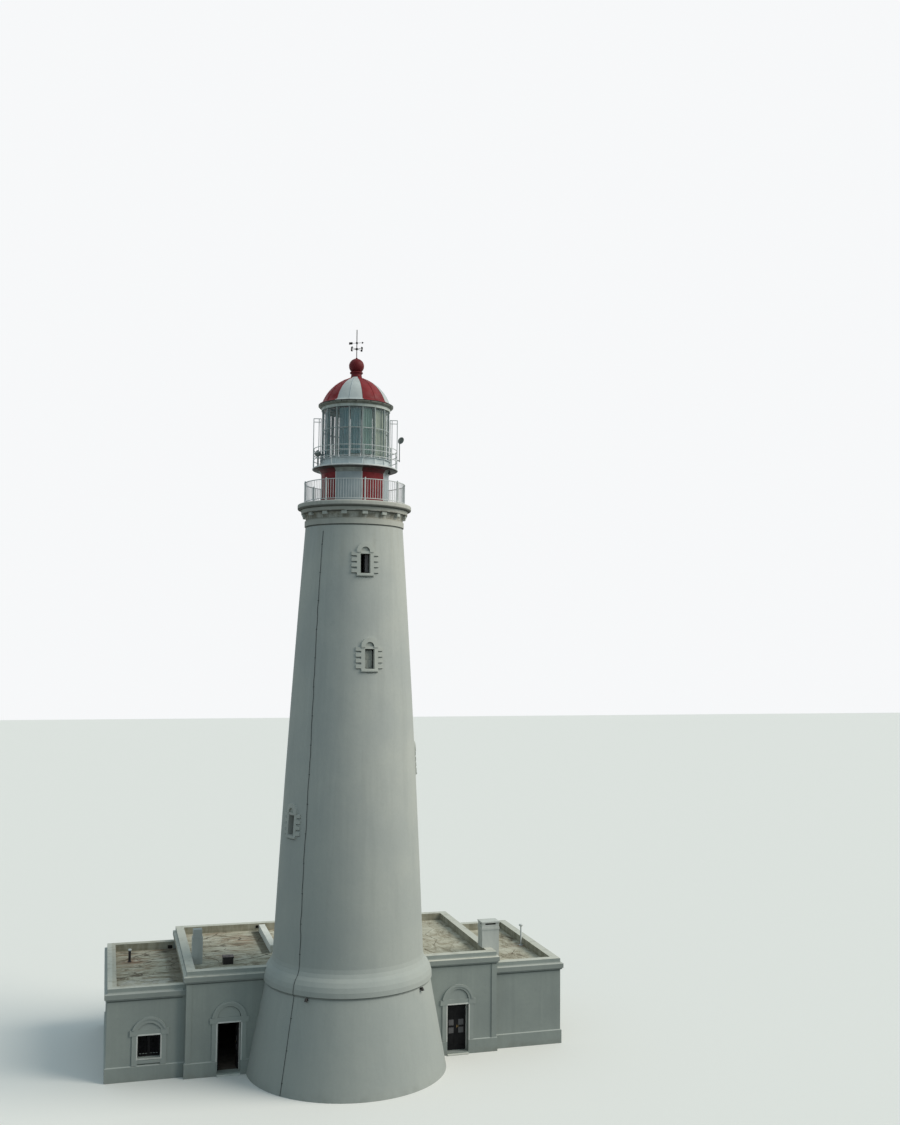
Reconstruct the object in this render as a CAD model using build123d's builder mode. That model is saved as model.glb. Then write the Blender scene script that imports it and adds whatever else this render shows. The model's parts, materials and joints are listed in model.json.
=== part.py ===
from build123d import *
from math import cos, degrees, radians, sin, sqrt
import os

os.makedirs("parts", exist_ok=True)

# Lighthouse: a tapered masonry tower standing in the middle of a flat-roofed house.
# Millimetres. Z up, the origin on the tower's axis at ground level, the front facing -Y.
# A bearing is measured from the front (-Y) towards the right (+X), in degrees.

# Tower base and shaft
ground_radius = 4480
base_top_radius = 3715
base_height = 3950
ring_radius = 3790
ring_underside = 60
ring_height = 650
ring_curve = (40, 390)
ring_top_inset = 170
flare_height = 1130
flare_radius = 3385
flare_curve = (65, 250)
shaft_mid_radius = 2855
shaft_mid_z = 15000
shaft_top_radius = 2250
shaft_top_z = 24280
ring_flats = 3
shaft_flats = 5
well_radius = 1650
base_block_angle = 60
shaft_block_angle = 60
shaft_first_joint = -100
passage_width = 1000
passage_height = 2100

# Tower windows: bearing and height of the middle of each opening
front_windows = ((1, 22490), (5, 18260))
left_windows = ((-67.5, 10940),)
right_windows = ((90, 13500),)
back_windows = ((172, 16100), (172, 20400))
window_width = 440
window_height = 870
surround_half_width = 385
hood_spring = 110
hood_rise = 400
surround_bed = 200
surround_proud = 55
hood_proud = 90
sill_depth = 150
quoin_reach = 620
quoin_height = 165
quoin_pitch = 255
quoin_count = 4
quoin_lift = 50
tympanum_radius = 200
tympanum_recess = 40
sash_thickness = 60
sash_setback = 250
sash_bar = 45

# Gallery at the head of the shaft
neck_band_height = 240
neck_band_proud = 45
cavetto_height = 330
cavetto_curve = (40, 90)
bed_radius = 2450
bed_height = 210
bed_step = 60
bed_splay = 30
slab_radius = 2630
slab_height = 250
slab_bead = 60
quarter_round = 0.3
moulding_flats = 4
bead_flats = 2
modillion_count = 16
modillion_width = 240
modillion_height = 140
modillion_reach = 170

# Gallery railing
bay_count = 8
railing_radius = 2325
railing_height = 1000
railing_gap = 90
rail_width = 40
rail_height = 30
post_width = 60
balusters_per_bay = 14
baluster_width = 18

# Service room below the lantern, painted in eight panels
drum_radius = 1570
drum_wall = 90
drum_height = 1650
drum_door_bearing = 157.5
drum_door_width = 680
drum_door_height = 1350
drum_door_sill = 120
drum_door_leaf = 45
drum_door_inset = 15
fixed_door_gap = 0.5
cut_margin = 1

# Lantern gallery
deck_radius = 1980
deck_height = 70
deck_bead = 20
cove_height = 240
cove_reach = 330
cove_lip = 30
cove_curve = (0.25, 0.4)
lantern_rail_radius = 1945
lantern_rail_heights = (360, 630, 860)
lantern_rail_width = 28
lantern_post_width = 34
side_frame_height = 2370
side_frame_bar_drop = 160
side_frame_inner_radius = 1610
side_frame_middle_radius = 1700
side_frame_bearings = (-101.25, 78.75)

# Lantern
pane_count = 16
lantern_radius = 1550
mullion_width = 46
mullion_depth = 70
curb_height = 380
curb_thickness = 60
pane_height = 2320
transom_rise = 1330
transom_height = 40
transom_depth = 44
glass_thickness = 12
head_height = 120
head_radius = 1600
head_inner_radius = 1480
gutter_radius = 1735
gutter_height = 150
gutter_wall = 60
gutter_trough = 60
gutter_splay = 30
gutter_step = 60

# Dome and finial
dome_panel_count = 8
dome_foot_radius = 1560
dome_foot_lift = 30
dome_rise = 1340
dome_flare_radius = 1665
dome_flare_height = 110
dome_haunch_radius = 1225
dome_haunch_rise = 560
dome_brow_radius = 620
dome_brow_rise = 1050
dome_neck_radius = 262
dome_neck_curve = (130, 75)
dome_shell = 30
dome_shell_slope = (0.8, 0.6)
dome_flats = 8
finial_collar_height = 190
finial_collar_taper = 20
finial_bead_radius = 305
finial_bead_height = 70
ball_radius = 355
ball_seat = 0.82
ball_flats = 12
mast_radius = 20
mast_tip_z = 33660
compass_z = 32740
compass_reach = 330
compass_bar = 16
compass_plate = 110
compass_bearing = 35
knot_radius = 60
knot_height = 80
vane_z = 33030
vane_reach = 300
vane_tail_length = 170
vane_tail_height = 110
vane_bar = 16
vane_bearing = 60
vane_hub_radius = 45
vane_hub_height = 80
vane_clearance = 0.3
vane_lap = 5
vane_head_set = 20
plate_thickness = 8

# Fittings on the galleries and the shaft
dish_radius = 170
dish_depth = 60
dish_z = 28520
dish_bearing = -50
dish_pole_radius = 22
dish_pole_start = 400
dish_pole_offset = 100
dish_arm_rise = 60
dish_arm_length = 110
dish_set = 60
lamp_radius = 140
lamp_z = 27680
lamp_place_radius = 1770
lamp_stem_radius = 25

# House
facade_y = 150
central_half_width = 7130
central_depth = 8800
central_height = 4540
wing_half_width = 10450
wing_setback = 280
wing_height = 3950
wall_thickness = 390
plinth_height = 640
plinth_proud = 50
plinth_splay = 30
cornice_drop = 500
cornice_height = 300
cornice_reach = 120
cornice_fillet = 70
cornice_wash = 25
cornice_round = (12, 56)
roof_drop = 350
roof_thickness = 220
floor_height = 110
pilaster_width = 240
pilaster_proud = 35

# House openings
door_place = 5250
door_width = 1020
door_head = 2250
inner_door_y = 6500
inner_door_width = 900
inner_door_head = 2110
wing_window_place = 8650
back_window_place = 4600
window_opening_width = 970
window_opening_sill = 930
window_opening_head = 1900
jamb_width = 240
band_height = 240
door_hood_rise = 680
door_tympanum_rise = 470
window_hood_rise = 540
window_tympanum_rise = 280
impost_reach = 100
jamb_proud = 40
arch_proud = 80
arch_roll = 110
arch_step = 25
threshold_reach = 120
threshold_height = 50

# Door leaves and window frames
frame_width = 40
frame_depth = 80
frame_setback = 250
leaf_thickness = 45
leaf_gap = 6
leaf_pane_width = 280
leaf_recesses = ((885, 285), (1240, 285), (430, 520), (1650, 470))
leaf_pane_recess = 12
left_leaf_angle = 85
hinge_heights = (240, 1700)
hinge_barrel_radius = 9
hinge_pin_radius = 5
hinge_clearance = 0.3
knuckle_height = 50
hinge_plate_reach = 34
hinge_plate_thickness = 3
house_pane_thickness = 10

# Roof pieces
left_chimney_place = (-6500, 2900)
left_chimney_size = (470, 450)
right_chimney_place = (7090, 1270)
right_chimney_size = (840, 640)
chimney_top_z = 5740
chimney_cap_height = 60
chimney_cap_reach = 30
chimney_band_z = 5370
chimney_band_height = 110
chimney_band_reach = 25
flue_slot_height = 85
flue_slot_share = 0.62
flue_slot_depth = 240
pot_height = 350
pot_inset = 70
hatch_place = (-5120, 2560)
hatch_size = 460
hatch_height = 300
upstand_place = (-2850, 6100)
upstand_size = (300, 4400)
upstand_height = 350
left_vent_place = (-9420, 6190)
left_vent_height = 620
right_vent_place = (9930, 4600)
right_vent_height = 1070
vent_radius = 60
vent_cap_radius = 110
vent_cap_height = 60

# Levels and places that follow from the sizes above
flare_top_z = base_height + flare_height
band_top_z = shaft_top_z + neck_band_height
bed_foot_z = band_top_z + cavetto_height
bed_top_z = bed_foot_z + bed_height
gallery_z = bed_top_z + slab_height
deck_foot_z = gallery_z + drum_height
deck_z = deck_foot_z + deck_height
curb_top_z = deck_z + curb_height
pane_top_z = curb_top_z + pane_height
head_top_z = pane_top_z + head_height
gutter_top_z = head_top_z + gutter_height
trough_z = gutter_top_z - gutter_trough
dome_foot_z = gutter_top_z + dome_foot_lift
dome_flare_z = dome_foot_z + dome_flare_height
dome_top_z = dome_foot_z + dome_rise
collar_top_z = dome_top_z + finial_collar_height
ball_z = collar_top_z + finial_bead_height + ball_radius * ball_seat
central_back_y = facade_y + central_depth
wing_front_y = facade_y + wing_setback
wing_back_y = central_back_y - wing_setback
central_roof_z = central_height - roof_drop
wing_roof_z = wing_height - roof_drop
bay_angle = 360 / bay_count
pane_angle = 360 / pane_count
hood_foot = window_height / 2 + hood_spring


def finish(piece, name):
    """Label a finished sub-part and write it to a file of its own."""
    piece.part.label = name
    export_step(piece.part, "parts/" + name + ".step")


def save(pieces, name):
    """Write several solids that don't touch as one sub-part."""
    with BuildPart() as group:
        for piece in pieces:
            for solid in piece.solids():
                add(solid)
    finish(group, name)


def radial_plane(bearing, height=0.0):
    """Upright plane through the axis: local x runs outwards and local y upwards."""
    east, north = sin(radians(bearing)), -cos(radians(bearing))
    return Plane(origin=(0, 0, height), x_dir=(east, north, 0), z_dir=(north, -east, 0))


def facing_plane(bearing, radius, height):
    """Upright plane at a radius, looking outwards: local y runs upwards."""
    east, north = sin(radians(bearing)), -cos(radians(bearing))
    return Plane(
        origin=(east * radius, north * radius, height),
        x_dir=(-north, east, 0),
        z_dir=(east, north, 0),
    )


def shaft_radius(height):
    """Outer radius of the shaft above its flare, which swells a little along an arc."""
    x1, y1 = flare_radius, flare_top_z
    x2, y2 = shaft_mid_radius, shaft_mid_z
    x3, y3 = shaft_top_radius, shaft_top_z
    d = 2 * (x1 * (y2 - y3) + x2 * (y3 - y1) + x3 * (y1 - y2))
    s1, s2, s3 = x1 * x1 + y1 * y1, x2 * x2 + y2 * y2, x3 * x3 + y3 * y3
    cx = (s1 * (y2 - y3) + s2 * (y3 - y1) + s3 * (y1 - y2)) / d
    cy = (s1 * (x3 - x2) + s2 * (x1 - x3) + s3 * (x2 - x1)) / d
    swell = sqrt((x1 - cx) ** 2 + (y1 - cy) ** 2)
    return cx + sqrt(swell**2 - (height - cy) ** 2)


def draw_curve(start, through, end, flats):
    """A moulded curve run as short flats, so that the form turned from it has few faces."""
    curve = ThreePointArc(start, through, end, mode=Mode.PRIVATE)
    return Polyline(*[curve @ (count / flats) for count in range(flats + 1)])


def draw_shaft(inner, grow=0.0):
    """Half section of the shaft with its ring and flare, grown outwards by an amount."""
    l1 = Line((inner, base_height), (base_top_radius + grow, base_height))
    l2 = Line(l1 @ 1, (ring_radius + grow, base_height + ring_underside))
    l3 = draw_curve(
        l2 @ 1,
        (ring_radius - ring_curve[0] + grow, base_height + ring_curve[1]),
        (ring_radius - ring_top_inset + grow, base_height + ring_height),
        ring_flats,
    )
    l4 = draw_curve(
        l3 @ 1,
        (flare_radius + flare_curve[0] + grow, flare_top_z - flare_curve[1]),
        (flare_radius + grow, flare_top_z),
        ring_flats,
    )
    l5 = draw_curve(
        l4 @ 1,
        (shaft_mid_radius + grow, shaft_mid_z),
        (shaft_top_radius + grow, shaft_top_z),
        shaft_flats,
    )
    l6 = Line(l5 @ 1, (inner, shaft_top_z))
    Line(l6 @ 1, l1 @ 0)


def draw_skin(inner, outer):
    """Section of a layer that follows the shaft above its flare, at two standing-outs."""
    l1 = Line((flare_radius + inner, flare_top_z), (flare_radius + outer, flare_top_z))
    l2 = draw_curve(
        l1 @ 1,
        (shaft_mid_radius + outer, shaft_mid_z),
        (shaft_top_radius + outer, shaft_top_z),
        shaft_flats,
    )
    l3 = Line(l2 @ 1, (shaft_top_radius + inner, shaft_top_z))
    draw_curve(l3 @ 1, (shaft_mid_radius + inner, shaft_mid_z), l1 @ 0, shaft_flats)


def draw_base(inner):
    """Half section of the battered base wall."""
    Polyline(
        (inner, 0),
        (ground_radius, 0),
        (base_top_radius, base_height),
        (inner, base_height),
        close=True,
    )


def draw_arch(half_width, foot, spring, rise):
    """Outline of a round-headed panel, about its middle line."""
    if foot < spring:
        Polyline((-half_width, spring), (-half_width, foot), (half_width, foot), (half_width, spring))
    else:
        Line((-half_width, spring), (half_width, spring))
    ThreePointArc((half_width, spring), (0, spring + rise), (-half_width, spring))


# Whole outer form of the tower, which trims the house where the two meet
with BuildPart() as tower_form:
    with BuildSketch(radial_plane(0)):
        with BuildLine():
            draw_base(0)
        make_face()
    revolve(axis=Axis.Z)
    with BuildSketch(radial_plane(0)):
        with BuildLine():
            draw_shaft(0)
        make_face()
    revolve(axis=Axis.Z)


def base_blocks(first_bearing):
    """Every other block of the round base wall, with the passage cut at the back."""
    with BuildPart() as blocks:
        for count in range(3):
            with BuildSketch(radial_plane(first_bearing + count * 2 * base_block_angle)):
                with BuildLine():
                    draw_base(well_radius)
                make_face()
            revolve(axis=Axis.Z, revolution_arc=base_block_angle)
        with BuildSketch(Plane.XY.offset(floor_height)):
            with Locations((0, ground_radius / 2)):
                Rectangle(passage_width, ground_radius)
        extrude(amount=base_height, mode=Mode.SUBTRACT)
    return blocks


# Battered base wall, in two sets of blocks that meet face to face
base_wall_blocks = base_blocks(0)
finish(base_wall_blocks, "base_wall_blocks")
base_wall_infill = base_blocks(base_block_angle)
finish(base_wall_infill, "base_wall_infill")

# Masonry over the passage
with BuildPart() as passage_lintel:
    with BuildSketch(radial_plane(90)):
        with BuildLine():
            draw_base(well_radius)
        make_face()
    revolve(axis=Axis.Z, revolution_arc=180)
    with BuildSketch(Plane.XY.offset(floor_height + passage_height)):
        with Locations((0, ground_radius / 2)):
            Rectangle(passage_width, ground_radius)
    extrude(amount=base_height - floor_height - passage_height, mode=Mode.INTERSECT)
finish(passage_lintel, "passage_lintel")

with BuildPart() as tower_floor:
    with BuildSketch():
        Circle(well_radius)
    extrude(amount=floor_height)
finish(tower_floor, "tower_floor")


def window_seat(place):
    """Plane on which a tower window's surround is bedded in the wall."""
    bearing, height = place
    return facing_plane(bearing, shaft_radius(height) - surround_bed, height)


def surround_face(place):
    """Face of a tower window's surround with its quoin blocks, on its seat."""
    with BuildSketch(window_seat(place)) as face:
        with BuildLine():
            draw_arch(surround_half_width, -window_height / 2 - sill_depth, hood_foot, hood_rise)
        make_face()
        with Locations((0, quoin_lift)):
            with GridLocations(0, quoin_pitch, 1, quoin_count):
                Rectangle(2 * quoin_reach, quoin_height)
    return face.sketch


def shaft_wall(first_joints, windows):
    """Blocks of the shaft wall, each from one joint on, with windows and surrounds cut."""
    with BuildPart() as wall:
        for joint in first_joints:
            with BuildSketch(radial_plane(joint)):
                with BuildLine():
                    draw_shaft(well_radius)
                make_face()
            revolve(axis=Axis.Z, revolution_arc=shaft_block_angle)
        for place in windows:
            with BuildSketch(facing_plane(place[0], well_radius / 2, place[1])):
                Rectangle(window_width, window_height)
            extrude(amount=shaft_radius(place[1]), mode=Mode.SUBTRACT)
            extrude(surround_face(place), amount=2 * surround_bed, mode=Mode.SUBTRACT)
    return wall


# Tapered shaft with its ring and flare, in six upright blocks
joints = [shaft_first_joint + count * shaft_block_angle for count in range(6)]
shaft_left = shaft_wall([joints[0]], left_windows)
finish(shaft_left, "shaft_left")
shaft_front = shaft_wall([joints[1]], front_windows)
finish(shaft_front, "shaft_front")
shaft_infill = shaft_wall([joints[2], joints[5]], right_windows)
finish(shaft_infill, "shaft_infill")
shaft_right = shaft_wall([joints[3]], right_windows)
finish(shaft_right, "shaft_right")
shaft_back = shaft_wall([joints[4]], back_windows)
finish(shaft_back, "shaft_back")

tower_windows = front_windows + left_windows + right_windows + back_windows

# Surrounds of the tower windows: frame, quoin blocks and sill, faced to the wall's curve
with BuildPart() as window_surrounds:
    for place in tower_windows:
        extrude(surround_face(place), amount=2 * surround_bed)
    with BuildSketch(radial_plane(0)):
        with BuildLine():
            draw_shaft(0, surround_proud)
        make_face()
    revolve(axis=Axis.Z, mode=Mode.INTERSECT)
    for place in tower_windows:
        with BuildSketch(window_seat(place)):
            Rectangle(window_width, window_height)
        extrude(amount=2 * surround_bed, mode=Mode.SUBTRACT)
        with BuildSketch(window_seat(place).offset(surround_bed - tympanum_recess)):
            with BuildLine():
                draw_arch(tympanum_radius, hood_foot, hood_foot, tympanum_radius)
            make_face()
        extrude(amount=2 * surround_bed, mode=Mode.SUBTRACT)
finish(window_surrounds, "window_surrounds")

# Arched hoods and sill mouldings laid on the surrounds
with BuildPart() as window_hoods:
    for place in tower_windows:
        with BuildSketch(window_seat(place)):
            with BuildLine():
                draw_arch(surround_half_width, hood_foot - sash_bar, hood_foot, hood_rise)
            make_face()
            with BuildLine():
                draw_arch(tympanum_radius, hood_foot - sash_bar, hood_foot, tympanum_radius)
            make_face(mode=Mode.SUBTRACT)
            with Locations((0, -window_height / 2 - sill_depth / 2)):
                Rectangle(2 * surround_half_width, sill_depth / 2)
        extrude(amount=2 * surround_bed)
    with BuildSketch(radial_plane(0)):
        with BuildLine():
            draw_skin(surround_proud, hood_proud)
        make_face()
    revolve(axis=Axis.Z, mode=Mode.INTERSECT)
finish(window_hoods, "window_hoods")

# Sashes of the tower windows, each a frame with its pane set deep in the wall
with BuildPart() as tower_sashes:
    for place in tower_windows:
        bearing, height = place
        back = shaft_radius(height) - sash_setback - sash_thickness
        with BuildSketch(facing_plane(bearing, back, height)):
            Rectangle(window_width, window_height)
            Rectangle(window_width - 2 * sash_bar, window_height - 2 * sash_bar, mode=Mode.SUBTRACT)
            Rectangle(sash_bar / 2, window_height - 2 * sash_bar)
        extrude(amount=sash_thickness)
        with BuildSketch(facing_plane(bearing, back + sash_thickness / 2, height)):
            Rectangle(window_width - sash_bar, window_height - sash_bar)
        extrude(amount=glass_thickness)
finish(tower_sashes, "tower_sashes")

# Necking, cavetto and bed mould under the gallery slab
with BuildPart() as gallery_cornice:
    with BuildSketch(radial_plane(0)):
        with BuildLine():
            l1 = Line((well_radius, shaft_top_z), (shaft_top_radius + neck_band_proud, shaft_top_z))
            l2 = Line(l1 @ 1, (shaft_top_radius + neck_band_proud, band_top_z))
            l3 = Line(l2 @ 1, (shaft_top_radius, band_top_z + neck_band_proud))
            l4 = draw_curve(
                l3 @ 1,
                (shaft_top_radius + cavetto_curve[0], bed_foot_z - cavetto_curve[1]),
                (bed_radius - bed_step, bed_foot_z),
                moulding_flats,
            )
            l5 = Line(l4 @ 1, (bed_radius, bed_foot_z))
            l6 = Line(l5 @ 1, (bed_radius + bed_splay, bed_top_z))
            l7 = Line(l6 @ 1, (well_radius, bed_top_z))
            Line(l7 @ 1, l1 @ 0)
        make_face()
    revolve(axis=Axis.Z)
finish(gallery_cornice, "gallery_cornice")

# Small blocks set in the cavetto below the bed mould
with BuildPart() as modillions:
    with PolarLocations(0, modillion_count):
        with Locations((shaft_top_radius + modillion_reach / 2, 0, bed_foot_z - modillion_height)):
            Box(
                modillion_reach,
                modillion_width,
                modillion_height,
                align=(Align.CENTER, Align.CENTER, Align.MIN),
            )
    add(gallery_cornice.part, mode=Mode.SUBTRACT)
finish(modillions, "modillions")

# Gallery slab with a rounded nosing
with BuildPart() as gallery_slab:
    with BuildSketch(radial_plane(0)):
        with BuildLine():
            round_in = slab_bead * quarter_round
            l1 = Line((0, bed_top_z), (slab_radius - slab_bead, bed_top_z))
            l2 = draw_curve(
                l1 @ 1,
                (slab_radius - round_in, bed_top_z + round_in),
                (slab_radius, bed_top_z + slab_bead),
                bead_flats,
            )
            l3 = Line(l2 @ 1, (slab_radius, gallery_z - slab_bead))
            l4 = draw_curve(
                l3 @ 1,
                (slab_radius - round_in, gallery_z - round_in),
                (slab_radius - slab_bead, gallery_z),
                bead_flats,
            )
            l5 = Line(l4 @ 1, (0, gallery_z))
            Line(l5 @ 1, l1 @ 0)
        make_face()
    revolve(axis=Axis.Z)
finish(gallery_slab, "gallery_slab")


def ring_face(bearing, inner, outer, foot, height):
    """Section of a round wall at a bearing."""
    with BuildSketch(radial_plane(bearing)) as face:
        with Locations(((inner + outer) / 2, foot + height / 2)):
            Rectangle(outer - inner, height)
    return face.sketch


drum_door_angle = degrees(drum_door_width / drum_radius)
fixed_gap_angle = degrees(fixed_door_gap / drum_radius)
drum_inner = drum_radius - drum_wall


def drum_panels(first_bearing):
    """Every other panel of the service room's wall, with the back door's opening cut."""
    with BuildPart() as panels:
        for count in range(0, bay_count, 2):
            bearing = first_bearing + count * bay_angle
            add(ring_face(bearing, drum_inner, drum_radius, gallery_z, drum_height))
            revolve(axis=Axis.Z, revolution_arc=bay_angle)
        sill_z = gallery_z + drum_door_sill
        start = drum_door_bearing - drum_door_angle / 2
        add(ring_face(start, drum_inner - cut_margin, drum_radius + cut_margin, sill_z, drum_door_height))
        revolve(axis=Axis.Z, revolution_arc=drum_door_angle, mode=Mode.SUBTRACT)
    return panels


drum_white_panels = drum_panels(-bay_angle)
finish(drum_white_panels, "drum_white_panels")
drum_red_panels = drum_panels(0)
finish(drum_red_panels, "drum_red_panels")

with BuildPart() as drum_door:
    start = drum_door_bearing - drum_door_angle / 2 + fixed_gap_angle
    leaf_face = drum_radius - drum_door_inset
    leaf_back = leaf_face - drum_door_leaf
    leaf_rise = drum_door_height - fixed_door_gap
    add(ring_face(start, leaf_back, leaf_face, gallery_z + drum_door_sill, leaf_rise))
    revolve(axis=Axis.Z, revolution_arc=drum_door_angle - 2 * fixed_gap_angle)
finish(drum_door, "drum_door")

# Gallery railing: posts at the bays' ends, rails and balusters between them
with BuildPart() as gallery_posts:
    with BuildSketch(Plane.XY.offset(gallery_z)):
        with PolarLocations(railing_radius, bay_count, start_angle=-90):
            Rectangle(post_width, post_width)
    extrude(amount=railing_height)
finish(gallery_posts, "gallery_posts")

with BuildPart() as gallery_railing:
    for foot in (railing_gap, railing_height - rail_height):
        with BuildSketch(Plane.XY.offset(gallery_z + foot)):
            Circle(railing_radius + rail_width / 2)
            Circle(railing_radius - rail_width / 2, mode=Mode.SUBTRACT)
        extrude(amount=rail_height)
    with BuildSketch(Plane.XY.offset(gallery_z + railing_gap + rail_height)):
        with PolarLocations(railing_radius, bay_count * (balusters_per_bay + 1), start_angle=-90):
            Rectangle(baluster_width, baluster_width)
        with PolarLocations(railing_radius, bay_count, start_angle=-90):
            Rectangle(post_width, post_width, mode=Mode.SUBTRACT)
    extrude(amount=railing_height - railing_gap - 2 * rail_height)
    add(gallery_posts.part, mode=Mode.SUBTRACT)
finish(gallery_railing, "gallery_railing")

# Lantern gallery: a thin deck over a coved soffit that springs from the drum
with BuildPart() as lantern_deck:
    with BuildSketch(radial_plane(0)):
        with BuildLine():
            l1 = Line((0, deck_foot_z), (drum_radius, deck_foot_z))
            l2 = Line(l1 @ 1, (drum_radius, deck_foot_z - cove_height))
            l3 = draw_curve(
                l2 @ 1,
                (drum_radius + cove_reach * cove_curve[0], deck_foot_z - cove_height * cove_curve[1]),
                (drum_radius + cove_reach, deck_foot_z - cove_lip),
                moulding_flats,
            )
            l4 = Line(l3 @ 1, (drum_radius + cove_reach, deck_foot_z))
            l5 = Line(l4 @ 1, (deck_radius, deck_foot_z))
            l6 = Line(l5 @ 1, (deck_radius, deck_z - deck_bead))
            l7 = Line(l6 @ 1, (deck_radius - deck_bead, deck_z))
            l8 = Line(l7 @ 1, (0, deck_z))
            Line(l8 @ 1, l1 @ 0)
        make_face()
    revolve(axis=Axis.Z)
finish(lantern_deck, "lantern_deck")

# Posts of the lantern gallery, with a tall frame of three uprights on each side
with BuildPart() as lantern_posts:
    with BuildSketch(Plane.XY.offset(deck_z)):
        with PolarLocations(lantern_rail_radius, bay_count, start_angle=-90):
            Rectangle(lantern_post_width, lantern_post_width)
    extrude(amount=lantern_rail_heights[-1] + lantern_rail_width)
    frame_middle = (lantern_rail_radius + side_frame_inner_radius) / 2
    frame_span = lantern_rail_radius - side_frame_inner_radius
    for bearing in side_frame_bearings:
        with BuildSketch(radial_plane(bearing, deck_z)):
            for radius in (side_frame_inner_radius, side_frame_middle_radius, lantern_rail_radius):
                with Locations((radius, side_frame_height / 2)):
                    Rectangle(lantern_post_width, side_frame_height)
            for drop in (0, side_frame_bar_drop):
                with Locations((frame_middle, side_frame_height - drop - lantern_rail_width / 2)):
                    Rectangle(frame_span, lantern_rail_width)
        extrude(amount=lantern_post_width / 2, both=True)
finish(lantern_posts, "lantern_posts")

with BuildPart() as lantern_rails:
    for rise in lantern_rail_heights:
        with BuildSketch(Plane.XY.offset(deck_z + rise)):
            Circle(lantern_rail_radius + lantern_rail_width / 2)
            Circle(lantern_rail_radius - lantern_rail_width / 2, mode=Mode.SUBTRACT)
        extrude(amount=lantern_rail_width)
    add(lantern_posts.part, mode=Mode.SUBTRACT)
finish(lantern_rails, "lantern_rails")

# Lantern: sixteen mullions, with curb panels, transoms and panes between them
pane_flat = lantern_radius * cos(radians(pane_angle / 2))
with BuildPart() as lantern_mullions:
    with BuildSketch(Plane.XY.offset(deck_z)):
        with PolarLocations(lantern_radius, pane_count, start_angle=-90):
            Rectangle(mullion_depth, mullion_width)
    extrude(amount=curb_height + pane_height)
finish(lantern_mullions, "lantern_mullions")


def between_mullions(foot, height, thickness):
    """Flat pieces that fill the lantern's bays from mullion to mullion."""
    with BuildPart() as pieces:
        with BuildSketch(Plane.XY.offset(foot)):
            RegularPolygon(pane_flat + thickness / 2, pane_count, major_radius=False)
            RegularPolygon(
                pane_flat - thickness / 2,
                pane_count,
                major_radius=False,
                mode=Mode.SUBTRACT,
            )
            with PolarLocations(lantern_radius, pane_count, start_angle=-90):
                Rectangle(mullion_depth, mullion_width, mode=Mode.SUBTRACT)
        extrude(amount=height)
    return pieces


lantern_curb = between_mullions(deck_z, curb_height, curb_thickness)
finish(lantern_curb, "lantern_curb")
transom_z = curb_top_z + transom_rise
lantern_transoms = between_mullions(transom_z, transom_height, transom_depth)
finish(lantern_transoms, "lantern_transoms")
lower_glass = between_mullions(curb_top_z, transom_rise, glass_thickness)
upper_glass = between_mullions(
    transom_z + transom_height,
    pane_height - transom_rise - transom_height,
    glass_thickness,
)
with BuildPart() as lantern_glass:
    add(lower_glass.part)
    add(upper_glass.part)
finish(lantern_glass, "lantern_glass")

# Head ring over the panes, with the gutter round the dome's foot
with BuildPart() as lantern_head:
    with BuildSketch(radial_plane(0)):
        with BuildLine():
            Polyline(
                (head_inner_radius, pane_top_z),
                (head_radius, pane_top_z),
                (head_radius, head_top_z),
                (gutter_radius - gutter_splay, head_top_z + gutter_step),
                (gutter_radius, gutter_top_z - gutter_step),
                (gutter_radius, gutter_top_z),
                (gutter_radius - gutter_wall, gutter_top_z),
                (gutter_radius - gutter_wall, trough_z),
                (dome_flare_radius - dome_shell, trough_z),
                (dome_flare_radius - dome_shell, dome_foot_z),
                (dome_foot_radius - dome_shell, dome_flare_z),
                (head_inner_radius, dome_flare_z),
                close=True,
            )
        make_face()
    revolve(axis=Axis.Z)
finish(lantern_head, "lantern_head")


def draw_dome(shell, flats):
    """Outline of the dome from its flare to its brow, drawn in by the shell's thickness."""
    inwards, downwards = shell * dome_shell_slope[0], shell * dome_shell_slope[1]
    return draw_curve(
        (dome_foot_radius - shell, dome_flare_z),
        (dome_haunch_radius - inwards, dome_flare_z + dome_haunch_rise - downwards),
        (dome_brow_radius, dome_flare_z + dome_brow_rise - shell),
        flats,
    )


def dome_panels(first_bearing):
    """Every other panel of the dome's shell, flared at the foot, with a concave neck."""
    panel_angle = 360 / dome_panel_count
    with BuildPart() as panels:
        for count in range(0, dome_panel_count, 2):
            with BuildSketch(radial_plane((first_bearing + count) * panel_angle)):
                with BuildLine():
                    l1 = draw_dome(0, dome_flats)
                    l2 = draw_curve(
                        l1 @ 1,
                        (dome_neck_radius + dome_neck_curve[0], dome_top_z - dome_neck_curve[1]),
                        (dome_neck_radius, dome_top_z),
                        ring_flats,
                    )
                    l3 = Line(l2 @ 1, (dome_neck_radius - dome_shell, dome_top_z))
                    l4 = draw_dome(dome_shell, moulding_flats)
                    Line(l3 @ 1, l4 @ 1)
                    Polyline(
                        l4 @ 0,
                        (dome_flare_radius - dome_shell, dome_foot_z),
                        (dome_flare_radius, dome_foot_z),
                        l1 @ 0,
                    )
                make_face()
            revolve(axis=Axis.Z, revolution_arc=panel_angle)
    return panels


dome_white_panels = dome_panels(-1)
finish(dome_white_panels, "dome_white_panels")
dome_red_panels = dome_panels(0)
finish(dome_red_panels, "dome_red_panels")


def draw_ball(radius, height, flats):
    """Half outline of a ball from its foot up, closed along the axis."""
    l1 = draw_curve((0, height - radius), (radius, height), (0, height + radius), flats)
    Line(l1 @ 1, l1 @ 0)


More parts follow.
